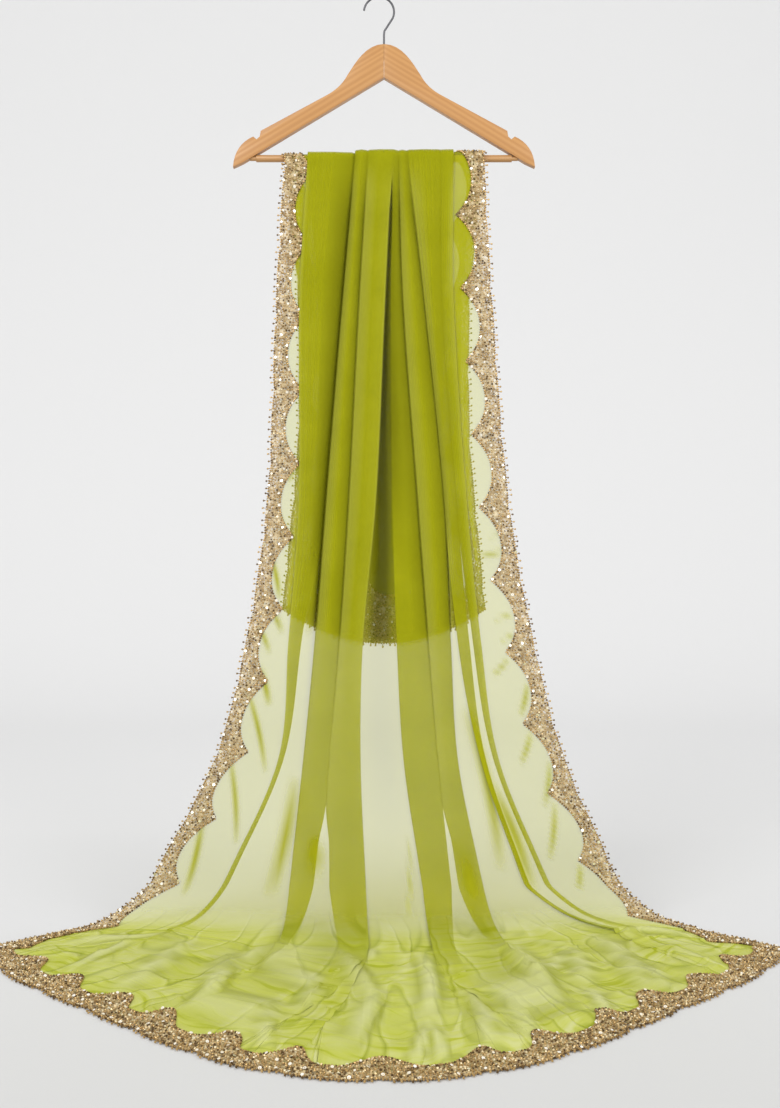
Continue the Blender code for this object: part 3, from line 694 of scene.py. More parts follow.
def front_row(along):
    """A row of the front drop: each point, its painted shade and painted highlight, and how much on a crease.
    """
    foot = smooth_step(BOW_END, FOOT_END, along)
    lines = lines_below_bar(min(along, BOW_END))
    if along > BOW_END:
        share = (along - BOW_END) / (FOOT_END - BOW_END)
        lines = {name: mix(place, FLOOR_LINES[name], share) for name, place in lines.items()}
    row = []
    step = 0.004
    for column, place in zip(COLUMNS, column_places(lines)):
        share = edge_share(place, lines)
        forward, height = station_at(along, share)
        before, before_height = station_at(max(0.0, along - step), share)
        after, after_height = station_at(along + step, share)
        run = Vector((0, -(after - before), after_height - before_height)).normalized()
        outward = Vector((0, run.z, -run.y))
        sunk = groove_depth(place, lines, along) * (1 - foot)
        ridge, on_crease, _ = crease_height(place * 1000, along * 1000, FRONT_CREASES)
        lift = column.level * PITCH - sunk + ridge * (1 - foot)
        base = Vector((HANGER_X + place, -BAR_REACH - forward, FLOOR_Z + height))
        doubled = over_back_drop(place, along)
        # painted shade in the grooves and the valley and where the back drop hangs behind; painted highlight
        # on the crests and on single panels clear of the back drop
        dark = min(1.0, sunk / SHADOW_DEPTH) * mix(0.30, 1.0, doubled) + BEHIND_SHADE * doubled
        lit = 0.40 * (1 - doubled) if column.pleat is None else 0.0
        pale = max(lit, 0.5 * groove_crest(place, lines, along)) * (1 - foot) * (1 - on_crease)
        from_edge = min(place - lines["left_edge"], lines["right_edge"] - place)
        bare = 1 - smooth_step(*BARE_EDGE, from_edge)
        if column.pleat is None and from_edge < SIDE_PANEL:
            doubled *= SIDE_PANEL_GATHER
        floor = smooth_step(1.07, 1.205, along)
        # painted shade on the folded layers where they come to the floor
        if column.pleat:
            dark = max(dark, PLEAT_SHADE * floor)
        crease = on_crease * (1 - foot)
        row.append(Spot(base + outward * lift, dark, crease, pale, floor, doubled, bare))
    return row


# The fan on the floor
FAN_CENTRE_Y = -0.060
FAN_RADIUS = 0.520
FAN_LOBE = 0.035
FAN_HALF_ANGLE = math.radians(81)
OPENING_EASE = 1.7  # the pleats stay shut near the foot and open towards the hem
OPENED = opened_places()
FLAT_AT_HEM = 0.075  # the cloth lies flat under its border


def hem_point(share):
    angle = FAN_HALF_ANGLE * (2 * share - 1)
    radius = FAN_RADIUS + FAN_LOBE * math.cos(4 * angle)
    x = HANGER_X + radius * math.sin(angle)
    return Vector((x, FAN_CENTRE_Y - radius * math.cos(angle), FLOOR_Z + CLOTH_LIFT))


def foot_point(share):
    place = mix(FLOOR_LINES["left_edge"], FLOOR_LINES["right_edge"], share)
    forward, _ = station_at(FOOT_END, edge_share(place, FLOOR_LINES))
    return Vector((HANGER_X + place, -BAR_REACH - forward, FLOOR_Z + CLOTH_LIFT))


def train_row(share):
    """A row of the train, this share of the way from the foot to the hem."""
    opening = share**OPENING_EASE
    feet = [(place - FLOOR_LINES["left_edge"]) / FLOOR_WIDTH for place in column_places(FLOOR_LINES)]
    across = [mix(foot, hem, opening) for foot, hem in zip(feet, OPENED)]
    shut = pleats_shut(across)
    row = []
    for column, way in zip(COLUMNS, across):
        start, end = foot_point(way), hem_point(way)
        place = abs(2 * way - 1)
        ahead = start + Vector((0, -0.35 * (1 - place**2) * (end - start).length, 0))
        point = start * (1 - share) ** 2 + ahead * (2 * share * (1 - share)) + end * share**2
        from_hem = (end - point).length
        calm = smooth_step(0.02, FLAT_AT_HEM, from_hem) * smooth_step(0.0, 0.06, min(way, 1 - way))
        rise = smooth_step(0.0, 0.12, share)
        x, forward = (point.x - HANGER_X) * 1000, -point.y * 1000
        ridge, top, side = crease_height(x, forward, TRAIN_CREASES)
        # broad swells, and narrow wrinkles where a bent noise passes through nothing
        swell = noise.noise(Vector((x * 0.011, forward * 0.006, 3.1)))
        bend = 14 * noise.noise(Vector((x * 0.013, forward * 0.013, 5.0)))
        rumple = 1 - 2.4 * abs(noise.noise(Vector(((x + bend) * 0.016, (forward - bend) * 0.021, 9.7))))
        wrinkle = max(0.0, rumple) ** 3
        soft = 0.005 * max(0.0, swell + 0.15) + 0.0034 * wrinkle
        lift = (ridge + soft) * calm * rise
        closed = shut.get(column.pleat, panel_shut(column, shut))
        lift += column.level * PITCH * closed * mix(1.0, 0.25, rise)
        # painted shade on the shut pleats, on the creases' sides and in the narrow wrinkles; painted
        # highlight on the creases' tops and the broad swells
        dark = closed * mix(PLEAT_SHADE, 0.12, smooth_step(0.0, 0.45, share)) if column.pleat else 0.0
        dark = max(dark, 0.80 * side * rise * calm, 0.15 * wrinkle * rise * calm)
        pale = (0.90 * top + 0.5 * max(0.0, swell) * (1 - wrinkle)) * calm * rise
        bare = 1 - smooth_step(*BARE_HEM, from_hem)
        row.append(Spot(point + Vector((0, 0, lift)), dark, 0.0, pale, 1.0, 0.0, bare))
    return row


def pleats_shut(across):
    """For each pleat, 1 while its layers lie over each other, falling to 0 once it has opened."""
    first, second = {}, {}
    for i, column in enumerate(COLUMNS):
        if column.layer == 0:
            first[column.pleat] = i
        if column.layer == 1:
            second[column.pleat] = i
    shut = {}
    for pleat, i in first.items():
        overlap = across[i] - across[second[pleat]]
        width = OPENED[second[pleat]] - OPENED[i]
        shut[pleat] = max(0.0, min(1.0, 1 + 1.6 * overlap / width))
    return shut


def panel_shut(column, shut):
    """The same for a panel between two pleats, whose height the nearer one sets."""
    names = [pleat.name for pleat in PLEATS]
    before = column.start.rsplit("_", 1)[0]
    after = column.end.rsplit("_", 1)[0]
    start = shut[before] if before in names else shut[after]
    end = shut[after] if after in names else shut[before]
    return mix(start, end, column.share)


def turn_row(angle):
    """A row of the turn over the bar, from 0 at its front to pi at its back."""
    outward = Vector((0, -math.cos(angle), math.sin(angle)))
    lines = lines_below_bar(0, True)
    row = []
    for column, place in zip(COLUMNS, column_places(lines)):
        sunk = mix(groove_depth(place, lines, 0), back_groove(place, lines, 0), angle / math.pi)
        reach = max(BAR_REACH, BAR_REACH + column.level * PITCH - sunk)
        point = Vector((HANGER_X + place, 0, BAR_Z)) + outward * reach
        from_edge = min(place - lines["left_edge"], lines["right_edge"] - place)
        bare = 1 - smooth_step(*BARE_EDGE, from_edge)
        # painted shade in the grooves and where the back drop hangs behind
        dark = min(1.0, 0.5 * sunk / SHADOW_DEPTH) + BEHIND_SHADE
        row.append(Spot(point, dark, 0.0, 0.0, 0.0, 1.0, bare))
    return row


BACK_GROOVES = (
    Groove("outer_left_pleat_right", 5.0, 9),
    Groove("left_pleat_right", 5.5, 7),
    Groove("right_middle_pleat_right", 6.5, 9),
    Groove("outer_right_pleat_left", 5.0, 7),
    Groove("right_edge_pleat_left", 3.0, 10),
)
BACK_CREASES = (
    Crease(-112, 180, -96, 320, 2.2, 4.0),
    Crease(-104, 380, -118, 520, 2.0, 4.0),
    Crease(116, 240, 98, 390, 2.2, 4.0),
    Crease(104, 430, 120, 560, 2.0, 4.0),
    Crease(-20, 470, -30, 640, 2.6, 6.0),
    Crease(58, 420, 66, 640, 2.4, 6.0),
    Crease(-70, 500, -82, 650, 2.2, 5.0),
)

BACK_HALF_WIDTH = 0.145
BACK_STANDOFF = 0.007  # below the bar the back drop hangs this much further out
# painted shade laid over the whole back drop
BACK_SHADE = 0.30


def back_groove(place, lines, down):
    """How far the back drop has sunk beside its folds, in metres."""
    start = mix(0.35, 1.0, smooth_step(0.0, 0.10, down))
    depth = 0.0
    for groove in BACK_GROOVES:
        away = lines[groove.line] - place
        reach = groove.width * 0.001 if away < 0 else GROOVE_RISE
        depth += groove.depth * 0.001 * math.exp(-abs(away) / reach) * start
    return depth


def back_row(down):
    """A row of the back drop, whose hem hangs lowest in the middle."""
    lines = lines_below_bar(0, True)
    half = lines["right_edge"]
    spread = back_spread(down)
    row = []
    for column, place in zip(COLUMNS, column_places(lines)):
        rise = BACK_EDGE_LIFT * (down / BACK_DROPS[-1].down) * (place / half) ** 2
        sunk = back_groove(place, lines, down)
        ridge, on_crease, _ = crease_height(place * spread * 1000, down * 1000, BACK_CREASES)
        standoff = BACK_STANDOFF * smooth_step(0, 0.15, down)
        reach = BAR_REACH + column.level * PITCH + ridge + standoff - sunk
        point = Vector((HANGER_X + place * spread, reach, BAR_Z - down + rise))
        # painted shade over the whole back drop, deeper in its grooves
        dark = min(1.0, BACK_SHADE + 0.7 * sunk / SHADOW_DEPTH)
        from_edge = (half - abs(place)) * spread
        bare = 1 - smooth_step(*BARE_EDGE, from_edge)
        row.append(Spot(point, dark, on_crease, 0.0, 0.0, 1.0, bare))
    return row


def cloth_rows():
    """Every row of the cloth, from the back hem over the bar and down to the front hem."""
    rows = [back_row(BACK_DROPS[-1].down * (1 - i / BACK_ROWS)) for i in range(BACK_ROWS)]
    rows += [turn_row(math.pi * (1 - i / TURN_ROWS)) for i in range(TURN_ROWS)]
    rows += [front_row(FOOT_END * i / FRONT_ROWS) for i in range(FRONT_ROWS)]
    rows += [train_row(i / TRAIN_ROWS) for i in range(TRAIN_ROWS + 1)]
    return rows


SHEER = 0.42  # how much of the view one hanging layer hides
DOUBLED_COVER = 0.54  # closer folds where the front and the back hang together
ON_FLOOR_COVER = 0.85  # on the floor the cloth is crumpled and lies close, and hides more


HANGING_LIMES = ((0.30, (0.395, 0.400, 0.003)), (0.72, (0.445, 0.448, 0.008)))
# The cloth on the floor takes a lighter, yellower lime, which runs from painted shade in the hollows of its
# fine wrinkles to painted highlight on their tops.
LYING_LIMES = ((0.0, (0.40, 0.45, 0.01)), (0.30, (0.525, 0.57, 0.06)), (1.0, (0.59, 0.625, 0.11)))
# painted shade and painted highlight for the train's pressed folds, as multipliers of the lying lime
FOLD_SHADE_AND_HIGHLIGHT = (
    (0.00, (0.62, 0.66, 0.10)),
    (0.45, (1.03, 1.02, 1.10)),
    (0.55, (1.03, 1.02, 1.10)),
    (1.00, (1.20, 1.16, 2.60)),
)
FOLD_PROFILE = (  # flat cloth, then a thin line of painted shade with a painted highlight on one side
    (0.360, (0.42, 0.42, 0.42)),
    (0.455, (0.50, 0.50, 0.50)),
    (0.490, (0.08, 0.08, 0.08)),
    (0.515, (0.95, 0.95, 0.95)),
    (0.600, (0.50, 0.50, 0.50)),
)


def bent_place(tree, place, noise_colour, amount):
    """A place moved by a noise, so that what is laid on it bends."""
    scaled = new_node(tree, "ShaderNodeVectorMath", [(0, noise_colour), (1, amount)], operation="MULTIPLY")
    moved = new_node(tree, "ShaderNodeVectorMath", [(0, place), (1, scaled.outputs[0])], operation="ADD")
    return moved.outputs[0]


def sheer_chiffon():
    """Lime chiffon: one layer hides two fifths of what is behind, and the gathered parts hide more. Its
    colour carries painted shade and painted highlights.
    """
    material, tree, shader = new_material("lime_chiffon", 0.72)
    uv = new_node(tree, "ShaderNodeUVMap", uv_map="cut")
    layer_cover, shadow, on_floor, pale = (
        new_node(tree, "ShaderNodeAttribute", attribute_name=name).outputs["Fac"]
        for name in ("cover", "shadow", "on_floor", "pale")
    )

    # fine crosswise wrinkles, with their lines bent by a slow noise
    bend = new_node(tree, "ShaderNodeTexNoise", [("Vector", uv.outputs[0]), ("Scale", 7.0), ("Detail", 2.0)])
    wide_bend = bent_place(tree, uv.outputs[0], bend.outputs["Color"], (0.05, 0.16, 0.0))
    stretch = new_node(tree, "ShaderNodeMapping", [("Vector", wide_bend)])
    stretch.inputs["Scale"].default_value = (9.0, 75.0, 1.0)
    wrinkles = new_node(tree, "ShaderNodeTexNoise", [("Vector", stretch.outputs[0]), ("Scale", 1.0)])
    wrinkles.inputs["Detail"].default_value = 2.0
    fine = map_range(tree, wrinkles.outputs["Fac"], (0.34, 0.62))

    # the weave: two sets of threads
    threads = []
    for way, turn in (("X", 0), ("Y", 1)):
        thread = new_node(tree, "ShaderNodeTexWave", [("Vector", uv.outputs[0]), ("Scale", 260.0)])
        thread.bands_direction = way
        thread.inputs["Distortion"].default_value = 0.4 + 0.2 * turn
        threads.append(thread.outputs["Fac"])
    weave = calculate(tree, "ADD", *threads)
    cloudy = new_node(tree, "ShaderNodeTexNoise", [("Vector", uv.outputs[0]), ("Scale", 14.0)])
    cloudy.inputs["Detail"].default_value = 3.0

    # soft folds pressed into the train: thin lines of painted shade with a painted highlight on one side, in
    # two directions
    slight_bend = bent_place(tree, uv.outputs[0], bend.outputs["Color"], (0.035, 0.05, 0.0))
    fold_lines = []
    for turn, scale, detail in ((0.10, (17.0, 2.6, 1.0), 0.0), (-0.75, (13.0, 3.4, 1.0), 1.0)):
        laid = new_node(tree, "ShaderNodeMapping", [("Vector", slight_bend)])
        laid.inputs["Rotation"].default_value = (0, 0, turn)
        laid.inputs["Scale"].default_value = scale
        fold = new_node(tree, "ShaderNodeTexNoise", [("Vector", laid.outputs[0]), ("Scale", 1.0)])
        fold.inputs["Detail"].default_value = detail
        fold.inputs["Distortion"].default_value = 0.06
        fold_lines.append(colour_ramp(tree, fold.outputs["Fac"], FOLD_PROFILE))
    fold_tone = map_range(tree, blend(tree, 0.5, *fold_lines), (0.20, 0.80))

    hanging = colour_ramp(tree, cloudy.outputs["Fac"], HANGING_LIMES)
    lying = colour_ramp(tree, fine, LYING_LIMES)
    laid_cloth = blend(tree, 1.0, lying, colour_ramp(tree, fold_tone, FOLD_SHADE_AND_HIGHLIGHT), "MULTIPLY")
    body = blend(tree, on_floor, hanging, laid_cloth)
    # painted highlight where the pale attribute is set, painted shade where the shadow attribute is set
    painted_light_tone = blend(tree, on_floor, (0.60, 0.60, 0.10, 1.0), (0.70, 0.72, 0.30, 1.0))
    painted_shade_tone = blend(tree, on_floor, (0.105, 0.105, 0.0, 1.0), (0.34, 0.37, 0.01, 1.0))
    shaded = blend(tree, shadow, blend(tree, pale, body, painted_light_tone), painted_shade_tone)
    tree.links.new(shaded, shader.inputs["Base Color"])

    wrinkled = calculate(tree, "MULTIPLY", fine, on_floor)
    thinner = calculate(tree, "MULTIPLY", wrinkled, -0.08)
    open_weave = calculate(tree, "MULTIPLY_ADD", weave, 0.03, -0.03)
    cover = calculate(tree, "ADD", layer_cover, thinner)
    woven = calculate(tree, "ADD", cover, open_weave, use_clamp=True)
    tree.links.new(woven, shader.inputs["Alpha"])

    on_train = calculate(tree, "MULTIPLY", fold_tone, on_floor)
    fold_bump = bumped(tree, on_train, 0.5, 0.004)
    wrinkle_bump = bumped(tree, wrinkled, 0.25, 0.0014, fold_bump)
    tree.links.new(bumped(tree, weave, 0.25, 0.0002, wrinkle_bump), shader.inputs["Normal"])
    shader.inputs["Sheen Weight"].default_value = 0.03
    shader.inputs["Sheen Roughness"].default_value = 0.4
    shader.inputs["Specular IOR Level"].default_value = 0.08
    return material


def build_cloth(rows):
    """The cloth as one open sheet, with its cut as a UV map in metres."""
    mesh = bpy.data.meshes.new("stole_cloth")
    wide = len(COLUMNS)
    faces = [
        (i * wide + j, (i + 1) * wide + j, (i + 1) * wide + j + 1, i * wide + j + 1)
        for i in range(len(rows) - 1)
        for j in range(wide - 1)
    ]
    mesh.from_pydata([spot.point for row in rows for spot in row], [], faces)
    mesh.update()
    values = {"cover": [], "shadow": [], "pale": [], "on_floor": []}
    for spot in (spot for row in rows for spot in row):
        cover = mix(SHEER, DOUBLED_COVER, spot.doubled)
        cover = mix(cover, ON_FLOOR_COVER, spot.floor) + 0.55 * spot.crease
        cover = min(0.96, cover - 0.08 * spot.pale * spot.floor)
        values["cover"].append(mix(cover, -0.1, spot.bare))
        # painted shade, with more on the creases
        values["shadow"].append(min(1.0, spot.dark + 0.26 * spot.crease))
        values["pale"].append(min(1.0, spot.pale))
        values["on_floor"].append(spot.floor)
    for name, numbers in values.items():
        mesh.attributes.new(name, "FLOAT", "POINT").data.foreach_set("value", numbers)
    lengths = [0.0]
    for above, below in zip(rows, rows[1:]):
        middle = wide // 2
        lengths.append(lengths[-1] + (below[middle].point - above[middle].point).length)
    cut = mesh.uv_layers.new(name="cut")
    for loop in mesh.loops:
        i, j = divmod(loop.vertex_index, wide)
        cut.data[loop.index].uv = (OPENED[j] * CUT_WIDTH, lengths[i] / lengths[-1] * CUT_LENGTH)
    mesh.shade_smooth()
    return add_object("stole_cloth", mesh)


ROWS = cloth_rows()
cloth = build_cloth(ROWS)
cloth.data.materials.append(sheer_chiffon())
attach(cloth, "root")
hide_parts("stole_back", "stole_over_bar", "stole_front", "stole_train")

# ---------------------------------------------------------------------------------------------------
# Beaded borders. Strips of lace net cut in deep scallops, set by hand with gold beads and small sequins,
# with a row of beads on each edge and a fringe of single beads on stalks. They are sewn to all four
# edges of the cloth and mitred at its corners.
# ---------------------------------------------------------------------------------------------------
SCALLOP = 0.107
SIDE_NARROW = 0.019
SIDE_WIDE = 0.044
HEM_NARROW = 0.036
HEM_WIDE = 0.066
BACK_HEM_NARROW = 0.070
BACK_HEM_WIDE = 0.105
HEM_NOTCH = 0.007  # the hem's outer edge runs in this far at each point
SIDE_NOTCH = 0.0025
SCALLOP_ROUNDNESS = 2.2
LEFT_PHASE = 0.020  # a scallop's point lies this far down the edge from the bar
RIGHT_PHASE = 0.085
BACK_MITRE = 1.0
FRONT_MITRE = 1.5
NET_LIFT = 0.0012
NET_STEP = 0.0036  # between two rows of the net along its edge
NET_STRIPS = 6
EDGING_STEP = 0.0038
FRINGE_STEP = 0.0095
OUTER_BEAD = 0.00155  # radii
INNER_BEAD = 0.00165
FRINGE_BEAD = 0.0016
STALK_BEAD = 0.0007
Knot = namedtuple("Knot", "point radius")


def scallop(along, narrow, wide, notch, phase=0.0, blunt=True):
    """How far in from the cloth's edge a border starts and ends, at a distance along the edge."""
    turn = abs(2 * (((along - phase) / SCALLOP) % 1.0) - 1)
    point = smooth_step(0.10, 0.98, turn) ** 1.5 if blunt else turn**SCALLOP_ROUNDNESS
    return notch * turn**4, mix(narrow, wide, point)


def walk(points, end, strips, start=0.0):
    """Points at even steps along a line of points, between two distances from its start."""
    wanted = [mix(start, end, i / strips) for i in range(strips + 1)]
    found, length, i = [], 0.0, 0
    for distance in wanted:
        while i < len(points) - 2 and length + (points[i + 1] - points[i]).length < distance:
            length += (points[i + 1] - points[i]).length
            i += 1
        span = (points[i + 1] - points[i]).length
        share = min(1.0, (distance - length) / span) if span > 1e-9 else 0.0
        found.append(points[i].lerp(points[i + 1], share))
    return found


def even_steps(points, step):
    """Points at even steps along a line of points."""
    whole = sum((there - here).length for here, there in zip(points, points[1:]))
    return walk(points, whole, max(2, round(whole / step)))


def side_border(side):
    """The net's rows along one side of the cloth, from the back hem to the front corner."""
    columns = range(LAST_PANEL_COLUMNS)
    edge_first = [[row[k if side < 0 else -1 - k].point for k in columns] for row in ROWS]
    lengths = [0.0]
    for here, there in zip(edge_first, edge_first[1:]):
        lengths.append(lengths[-1] + (there[0] - here[0]).length)
    whole = lengths[-1]
    phase = lengths[BACK_ROWS + TURN_ROWS] + (LEFT_PHASE if side < 0 else RIGHT_PHASE)
    count = round(whole / NET_STEP)
    net = []
    i = 0
    for step in range(count + 1):
        along = mix(0.0015, whole - 0.0015, step / count)
        while i < len(lengths) - 2 and lengths[i + 1] < along:
            i += 1
        t = (along - lengths[i]) / (lengths[i + 1] - lengths[i])
        line = [a.lerp(b, t) for a, b in zip(edge_first[i], edge_first[i + 1])]
        mitre = max(0.0008, min(along * BACK_MITRE, (whole - along) * FRONT_MITRE))
        notch, width = scallop(along, SIDE_NARROW, SIDE_WIDE, SIDE_NOTCH, phase, False)
        net.append(walk(line, min(width, mitre), NET_STRIPS, min(notch, mitre / 2)))
    return net


def front_hem_border():
    """The net's rows along the train's hem, running up the cloth's own columns."""
    edge = [hem_point(i / 400) for i in range(401)]
    length = sum((there - here).length for here, there in zip(edge, edge[1:]))
    points = round(length / SCALLOP)
    count = round(length / NET_STEP)
    net = []
    j = 0
    for step in range(count + 1):
        share = mix(0.001, 0.999, step / count)
        while j < len(OPENED) - 2 and OPENED[j + 1] < share:
            j += 1
        t = (share - OPENED[j]) / max(1e-9, OPENED[j + 1] - OPENED[j])
        line = [row[j].point.lerp(row[j + 1].point, t) for row in reversed(ROWS[-TRAIN_ROWS - 1 :])]
        mitre = max(0.0008, min(share, 1 - share) * length * FRONT_MITRE)
        notch, width = scallop(share * points * SCALLOP, HEM_NARROW, HEM_WIDE, HEM_NOTCH)
        net.append(walk(line, min(width, mitre), NET_STRIPS, min(notch, mitre / 2)))
    return net


def back_hem_border(behind):
    """The net's rows along the back hem, over the outer or the inner face of the pleats."""
    across = [spot.point.x for spot, column in zip(ROWS[0], COLUMNS) if column.bulge == 0]
    left, right = min(across), max(across)
    length = right - left
    count = round(length / NET_STEP)
    net = []
    for step in range(count + 1):
        share = mix(0.002, 0.998, step / count)
        x = mix(left, right, share)
        place = (x - HANGER_X) / (length / 2)
        rise = BACK_EDGE_LIFT * place**2
        low = BAR_Z - BACK_DROPS[-1].down + rise
        _, width = scallop(share * length, BACK_HEM_NARROW, BACK_HEM_WIDE, 0.0)
        width = max(0.0008, min(width, min(share, 1 - share) * length * BACK_MITRE))
        depth = BAR_REACH + BACK_STANDOFF + (PLEAT_LAYERS * PITCH if behind else -2 * PITCH)
        net.append([Vector((x, depth, low + width * k / NET_STRIPS)) for k in range(NET_STRIPS + 1)])
    return net


def outward_normals(net, flip):
    """The way out from the cloth at each point of a net."""
    normals = []
    for i, line in enumerate(net):
        before, after = net[max(i - 1, 0)], net[min(i + 1, len(net) - 1)]
        middle = NET_STRIPS // 2
        along = after[middle] - before[middle]
        across = line[-1] - line[0]
        normals.append(along.cross(across).normalized() * flip)
    return normals


def fringe_knots(net, normals):
    """Edging beads along both edges of a net, and beads on stalks beyond its outer edge."""
    outer = [line[0] + normal * NET_LIFT for line, normal in zip(net, normals)]
    inner = [line[-1] + normal * NET_LIFT for line, normal in zip(net, normals)]
    second = [line[1] + normal * NET_LIFT for line, normal in zip(net, normals)]
    knots = [Knot(point, OUTER_BEAD) for point in even_steps(outer, EDGING_STEP)]
    knots += [Knot(point, INNER_BEAD) for point in even_steps(inner, EDGING_STEP)]
    whole = sum((there - here).length for here, there in zip(outer, outer[1:]))
    count = round(whole / FRINGE_STEP)
    length, i = 0.0, 0
    for k in range(1, count):
        distance = whole * (k + 0.25 * noise.noise(Vector((k * 0.7, whole * 10, 0.0)))) / count
        while i < len(outer) - 2 and length + (outer[i + 1] - outer[i]).length < distance:
            length += (outer[i + 1] - outer[i]).length
            i += 1
        here = outer[i]
        away = (here - second[i]).normalized()
        reach = 0.0042 + 0.0024 * noise.noise(Vector((k * 1.9, 4.0, whole)))
        knots.append(Knot(here + away * reach, FRINGE_BEAD))
        knots += [Knot(here + away * reach * part, STALK_BEAD) for part in (0.62, 0.36)]
    return knots


def net_piece(name, nets, flips):
    """The net as one mesh, with its edging and fringe as loose points that carry a bead's radius."""
    points, faces, knots, cells = [], [], [], []
    for net, flip in zip(nets, flips):
        normals = outward_normals(net, flip)
        start = len(points)
        along = 0.0
        for i, (line, normal) in enumerate(zip(net, normals)):
            if i:
                along += (line[0] - net[i - 1][0]).length
            for point in line:
                points.append(point + normal * NET_LIFT)
                cells.append((along, (point - line[0]).length))
        wide = NET_STRIPS + 1
        for i in range(len(net) - 1):
            for k in range(NET_STRIPS):
                corner = start + i * wide + k
                face = (corner, corner + wide, corner + wide + 1, corner + 1)
                faces.append(face if flip > 0 else face[::-1])
        knots += fringe_knots(net, normals)
    mesh = bpy.data.meshes.new(name)
    mesh.from_pydata(points + [knot.point for knot in knots], [], faces)
    radii = [0.0] * len(points) + [knot.radius for knot in knots]
    mesh.attributes.new("knot", "FLOAT", "POINT").data.foreach_set("value", radii)
    lace = mesh.uv_layers.new(name="lace")
    for loop in mesh.loops:
        lace.data[loop.index].uv = cells[loop.vertex_index]
    mesh.shade_smooth()
    return add_object(name, mesh)


def scattered_beads():
    """Geometry Nodes that cover a net with beads and sequins, and put a bead on each loose point."""
    tree = bpy.data.node_groups.new("scattered_beads", "GeometryNodeTree")
    tree.interface.new_socket("Geometry", in_out="INPUT", socket_type="NodeSocketGeometry")
    for label, value in (
        ("Bead Radius", 0.00145),
        ("Bead Spacing", 0.0031),
        ("Sequin Radius", 0.0020),
        ("Sequin Spacing", 0.0165),
    ):
        socket = tree.interface.new_socket(label, in_out="INPUT", socket_type="NodeSocketFloat")
        socket.default_value = value
    seed = tree.interface.new_socket("Seed", in_out="INPUT", socket_type="NodeSocketInt")
    seed.default_value = 7
    tree.interface.new_socket("Material", in_out="INPUT", socket_type="NodeSocketMaterial")
    tree.interface.new_socket("Geometry", in_out="OUTPUT", socket_type="NodeSocketGeometry")
    given = tree.nodes.new("NodeGroupInput").outputs
    made = tree.nodes.new("NodeGroupOutput").inputs

    bead = new_node(tree, "GeometryNodeMeshIcoSphere", [("Radius", 1.0), ("Subdivisions", 1)])
    disc = new_node(tree, "GeometryNodeMeshCircle", [("Vertices", 6), ("Radius", 1.0)])
    disc.fill_type = "TRIANGLE_FAN"
    parts = []
    for shape, radius, spacing, tones, least, lift in (
        (bead.outputs["Mesh"], "Bead Radius", "Bead Spacing", (0.0, 0.8), 0.7, 0.0006),
        (disc.outputs["Mesh"], "Sequin Radius", "Sequin Spacing", (0.86, 1.0), 0.8, 0.0019),
    ):
        scatter = new_node(
            tree,
            "GeometryNodeDistributePointsOnFaces",
            [("Mesh", given["Geometry"]), ("Distance Min", given[spacing]), ("Density Max", 200000.0)],
            distribute_method="POISSON",
        )
        tree.links.new(given["Seed"], scatter.inputs["Seed"])
        size = new_node(tree, "FunctionNodeRandomValue", [(2, least), (3, 1.2), ("Seed", 2)])
        scaled = calculate(tree, "MULTIPLY", size.outputs[1], given[radius])
        tilt = new_node(
            tree,
            "FunctionNodeRandomValue",
            [(0, (-0.55, -0.55, 0.0)), (1, (0.55, 0.55, 6.28)), ("Seed", 5)],
            data_type="FLOAT_VECTOR",
        )
        turned = new_node(
            tree,
            "FunctionNodeRotateRotation",
            [("Rotation", scatter.outputs["Rotation"]), ("Rotate By", tilt.outputs[0])],
            rotation_space="LOCAL",
        )
        out = new_node(
            tree, "ShaderNodeVectorMath", [(0, scatter.outputs["Normal"]), ("Scale", lift)], operation="SCALE"
        )
        raised = new_node(
            tree,
            "GeometryNodeSetPosition",
            [("Geometry", scatter.outputs["Points"]), ("Offset", out.outputs[0])],
        )
        placed = new_node(
            tree,
            "GeometryNodeInstanceOnPoints",
            [
                ("Points", raised.outputs[0]),
                ("Instance", shape),
                ("Rotation", turned.outputs[0]),
                ("Scale", scaled),
            ],
        )
        tone = new_node(tree, "FunctionNodeRandomValue", [(2, tones[0]), (3, tones[1]), ("Seed", 9)])
        toned = new_node(
            tree,
            "GeometryNodeStoreNamedAttribute",
            [("Geometry", placed.outputs[0]), ("Name", "tone"), ("Value", tone.outputs[1])],
            data_type="FLOAT",
            domain="INSTANCE",
        )
        parts.append(toned)
    knot = new_node(tree, "GeometryNodeInputNamedAttribute", [("Name", "knot")], data_type="FLOAT")
    on_edge = new_node(
        tree, "FunctionNodeCompare", [("A", knot.outputs["Attribute"]), ("B", 0.0)], operation="GREATER_THAN"
    )
    loose = new_node(
        tree, "GeometryNodeMeshToPoints", [("Mesh", given["Geometry"]), ("Selection", on_edge.outputs[0])]
    )
    strung = new_node(
        tree,
        "GeometryNodeInstanceOnPoints",
        [
            ("Points", loose.outputs[0]),
            ("Instance", bead.outputs["Mesh"]),
            ("Scale", knot.outputs["Attribute"]),
        ],
    )
    edge_tone = new_node(tree, "FunctionNodeRandomValue", [(2, 0.0), (3, 0.55), ("Seed", 12)])
    edge_toned = new_node(
        tree,
        "GeometryNodeStoreNamedAttribute",
        [("Geometry", strung.outputs[0]), ("Name", "tone"), ("Value", edge_tone.outputs[1])],
        data_type="FLOAT",
        domain="INSTANCE",
    )
    parts.append(edge_toned)
    joined = tree.nodes.new("GeometryNodeJoinGeometry")
    for part in parts:
        tree.links.new(part.outputs[0], joined.inputs[0])
    real = new_node(tree, "GeometryNodeRealizeInstances", [("Geometry", joined.outputs[0])])
    coloured = new_node(
        tree, "GeometryNodeSetMaterial", [("Geometry", real.outputs[0]), ("Material", given["Material"])]
    )
    tree.links.new(coloured.outputs[0], made["Geometry"])
    return tree


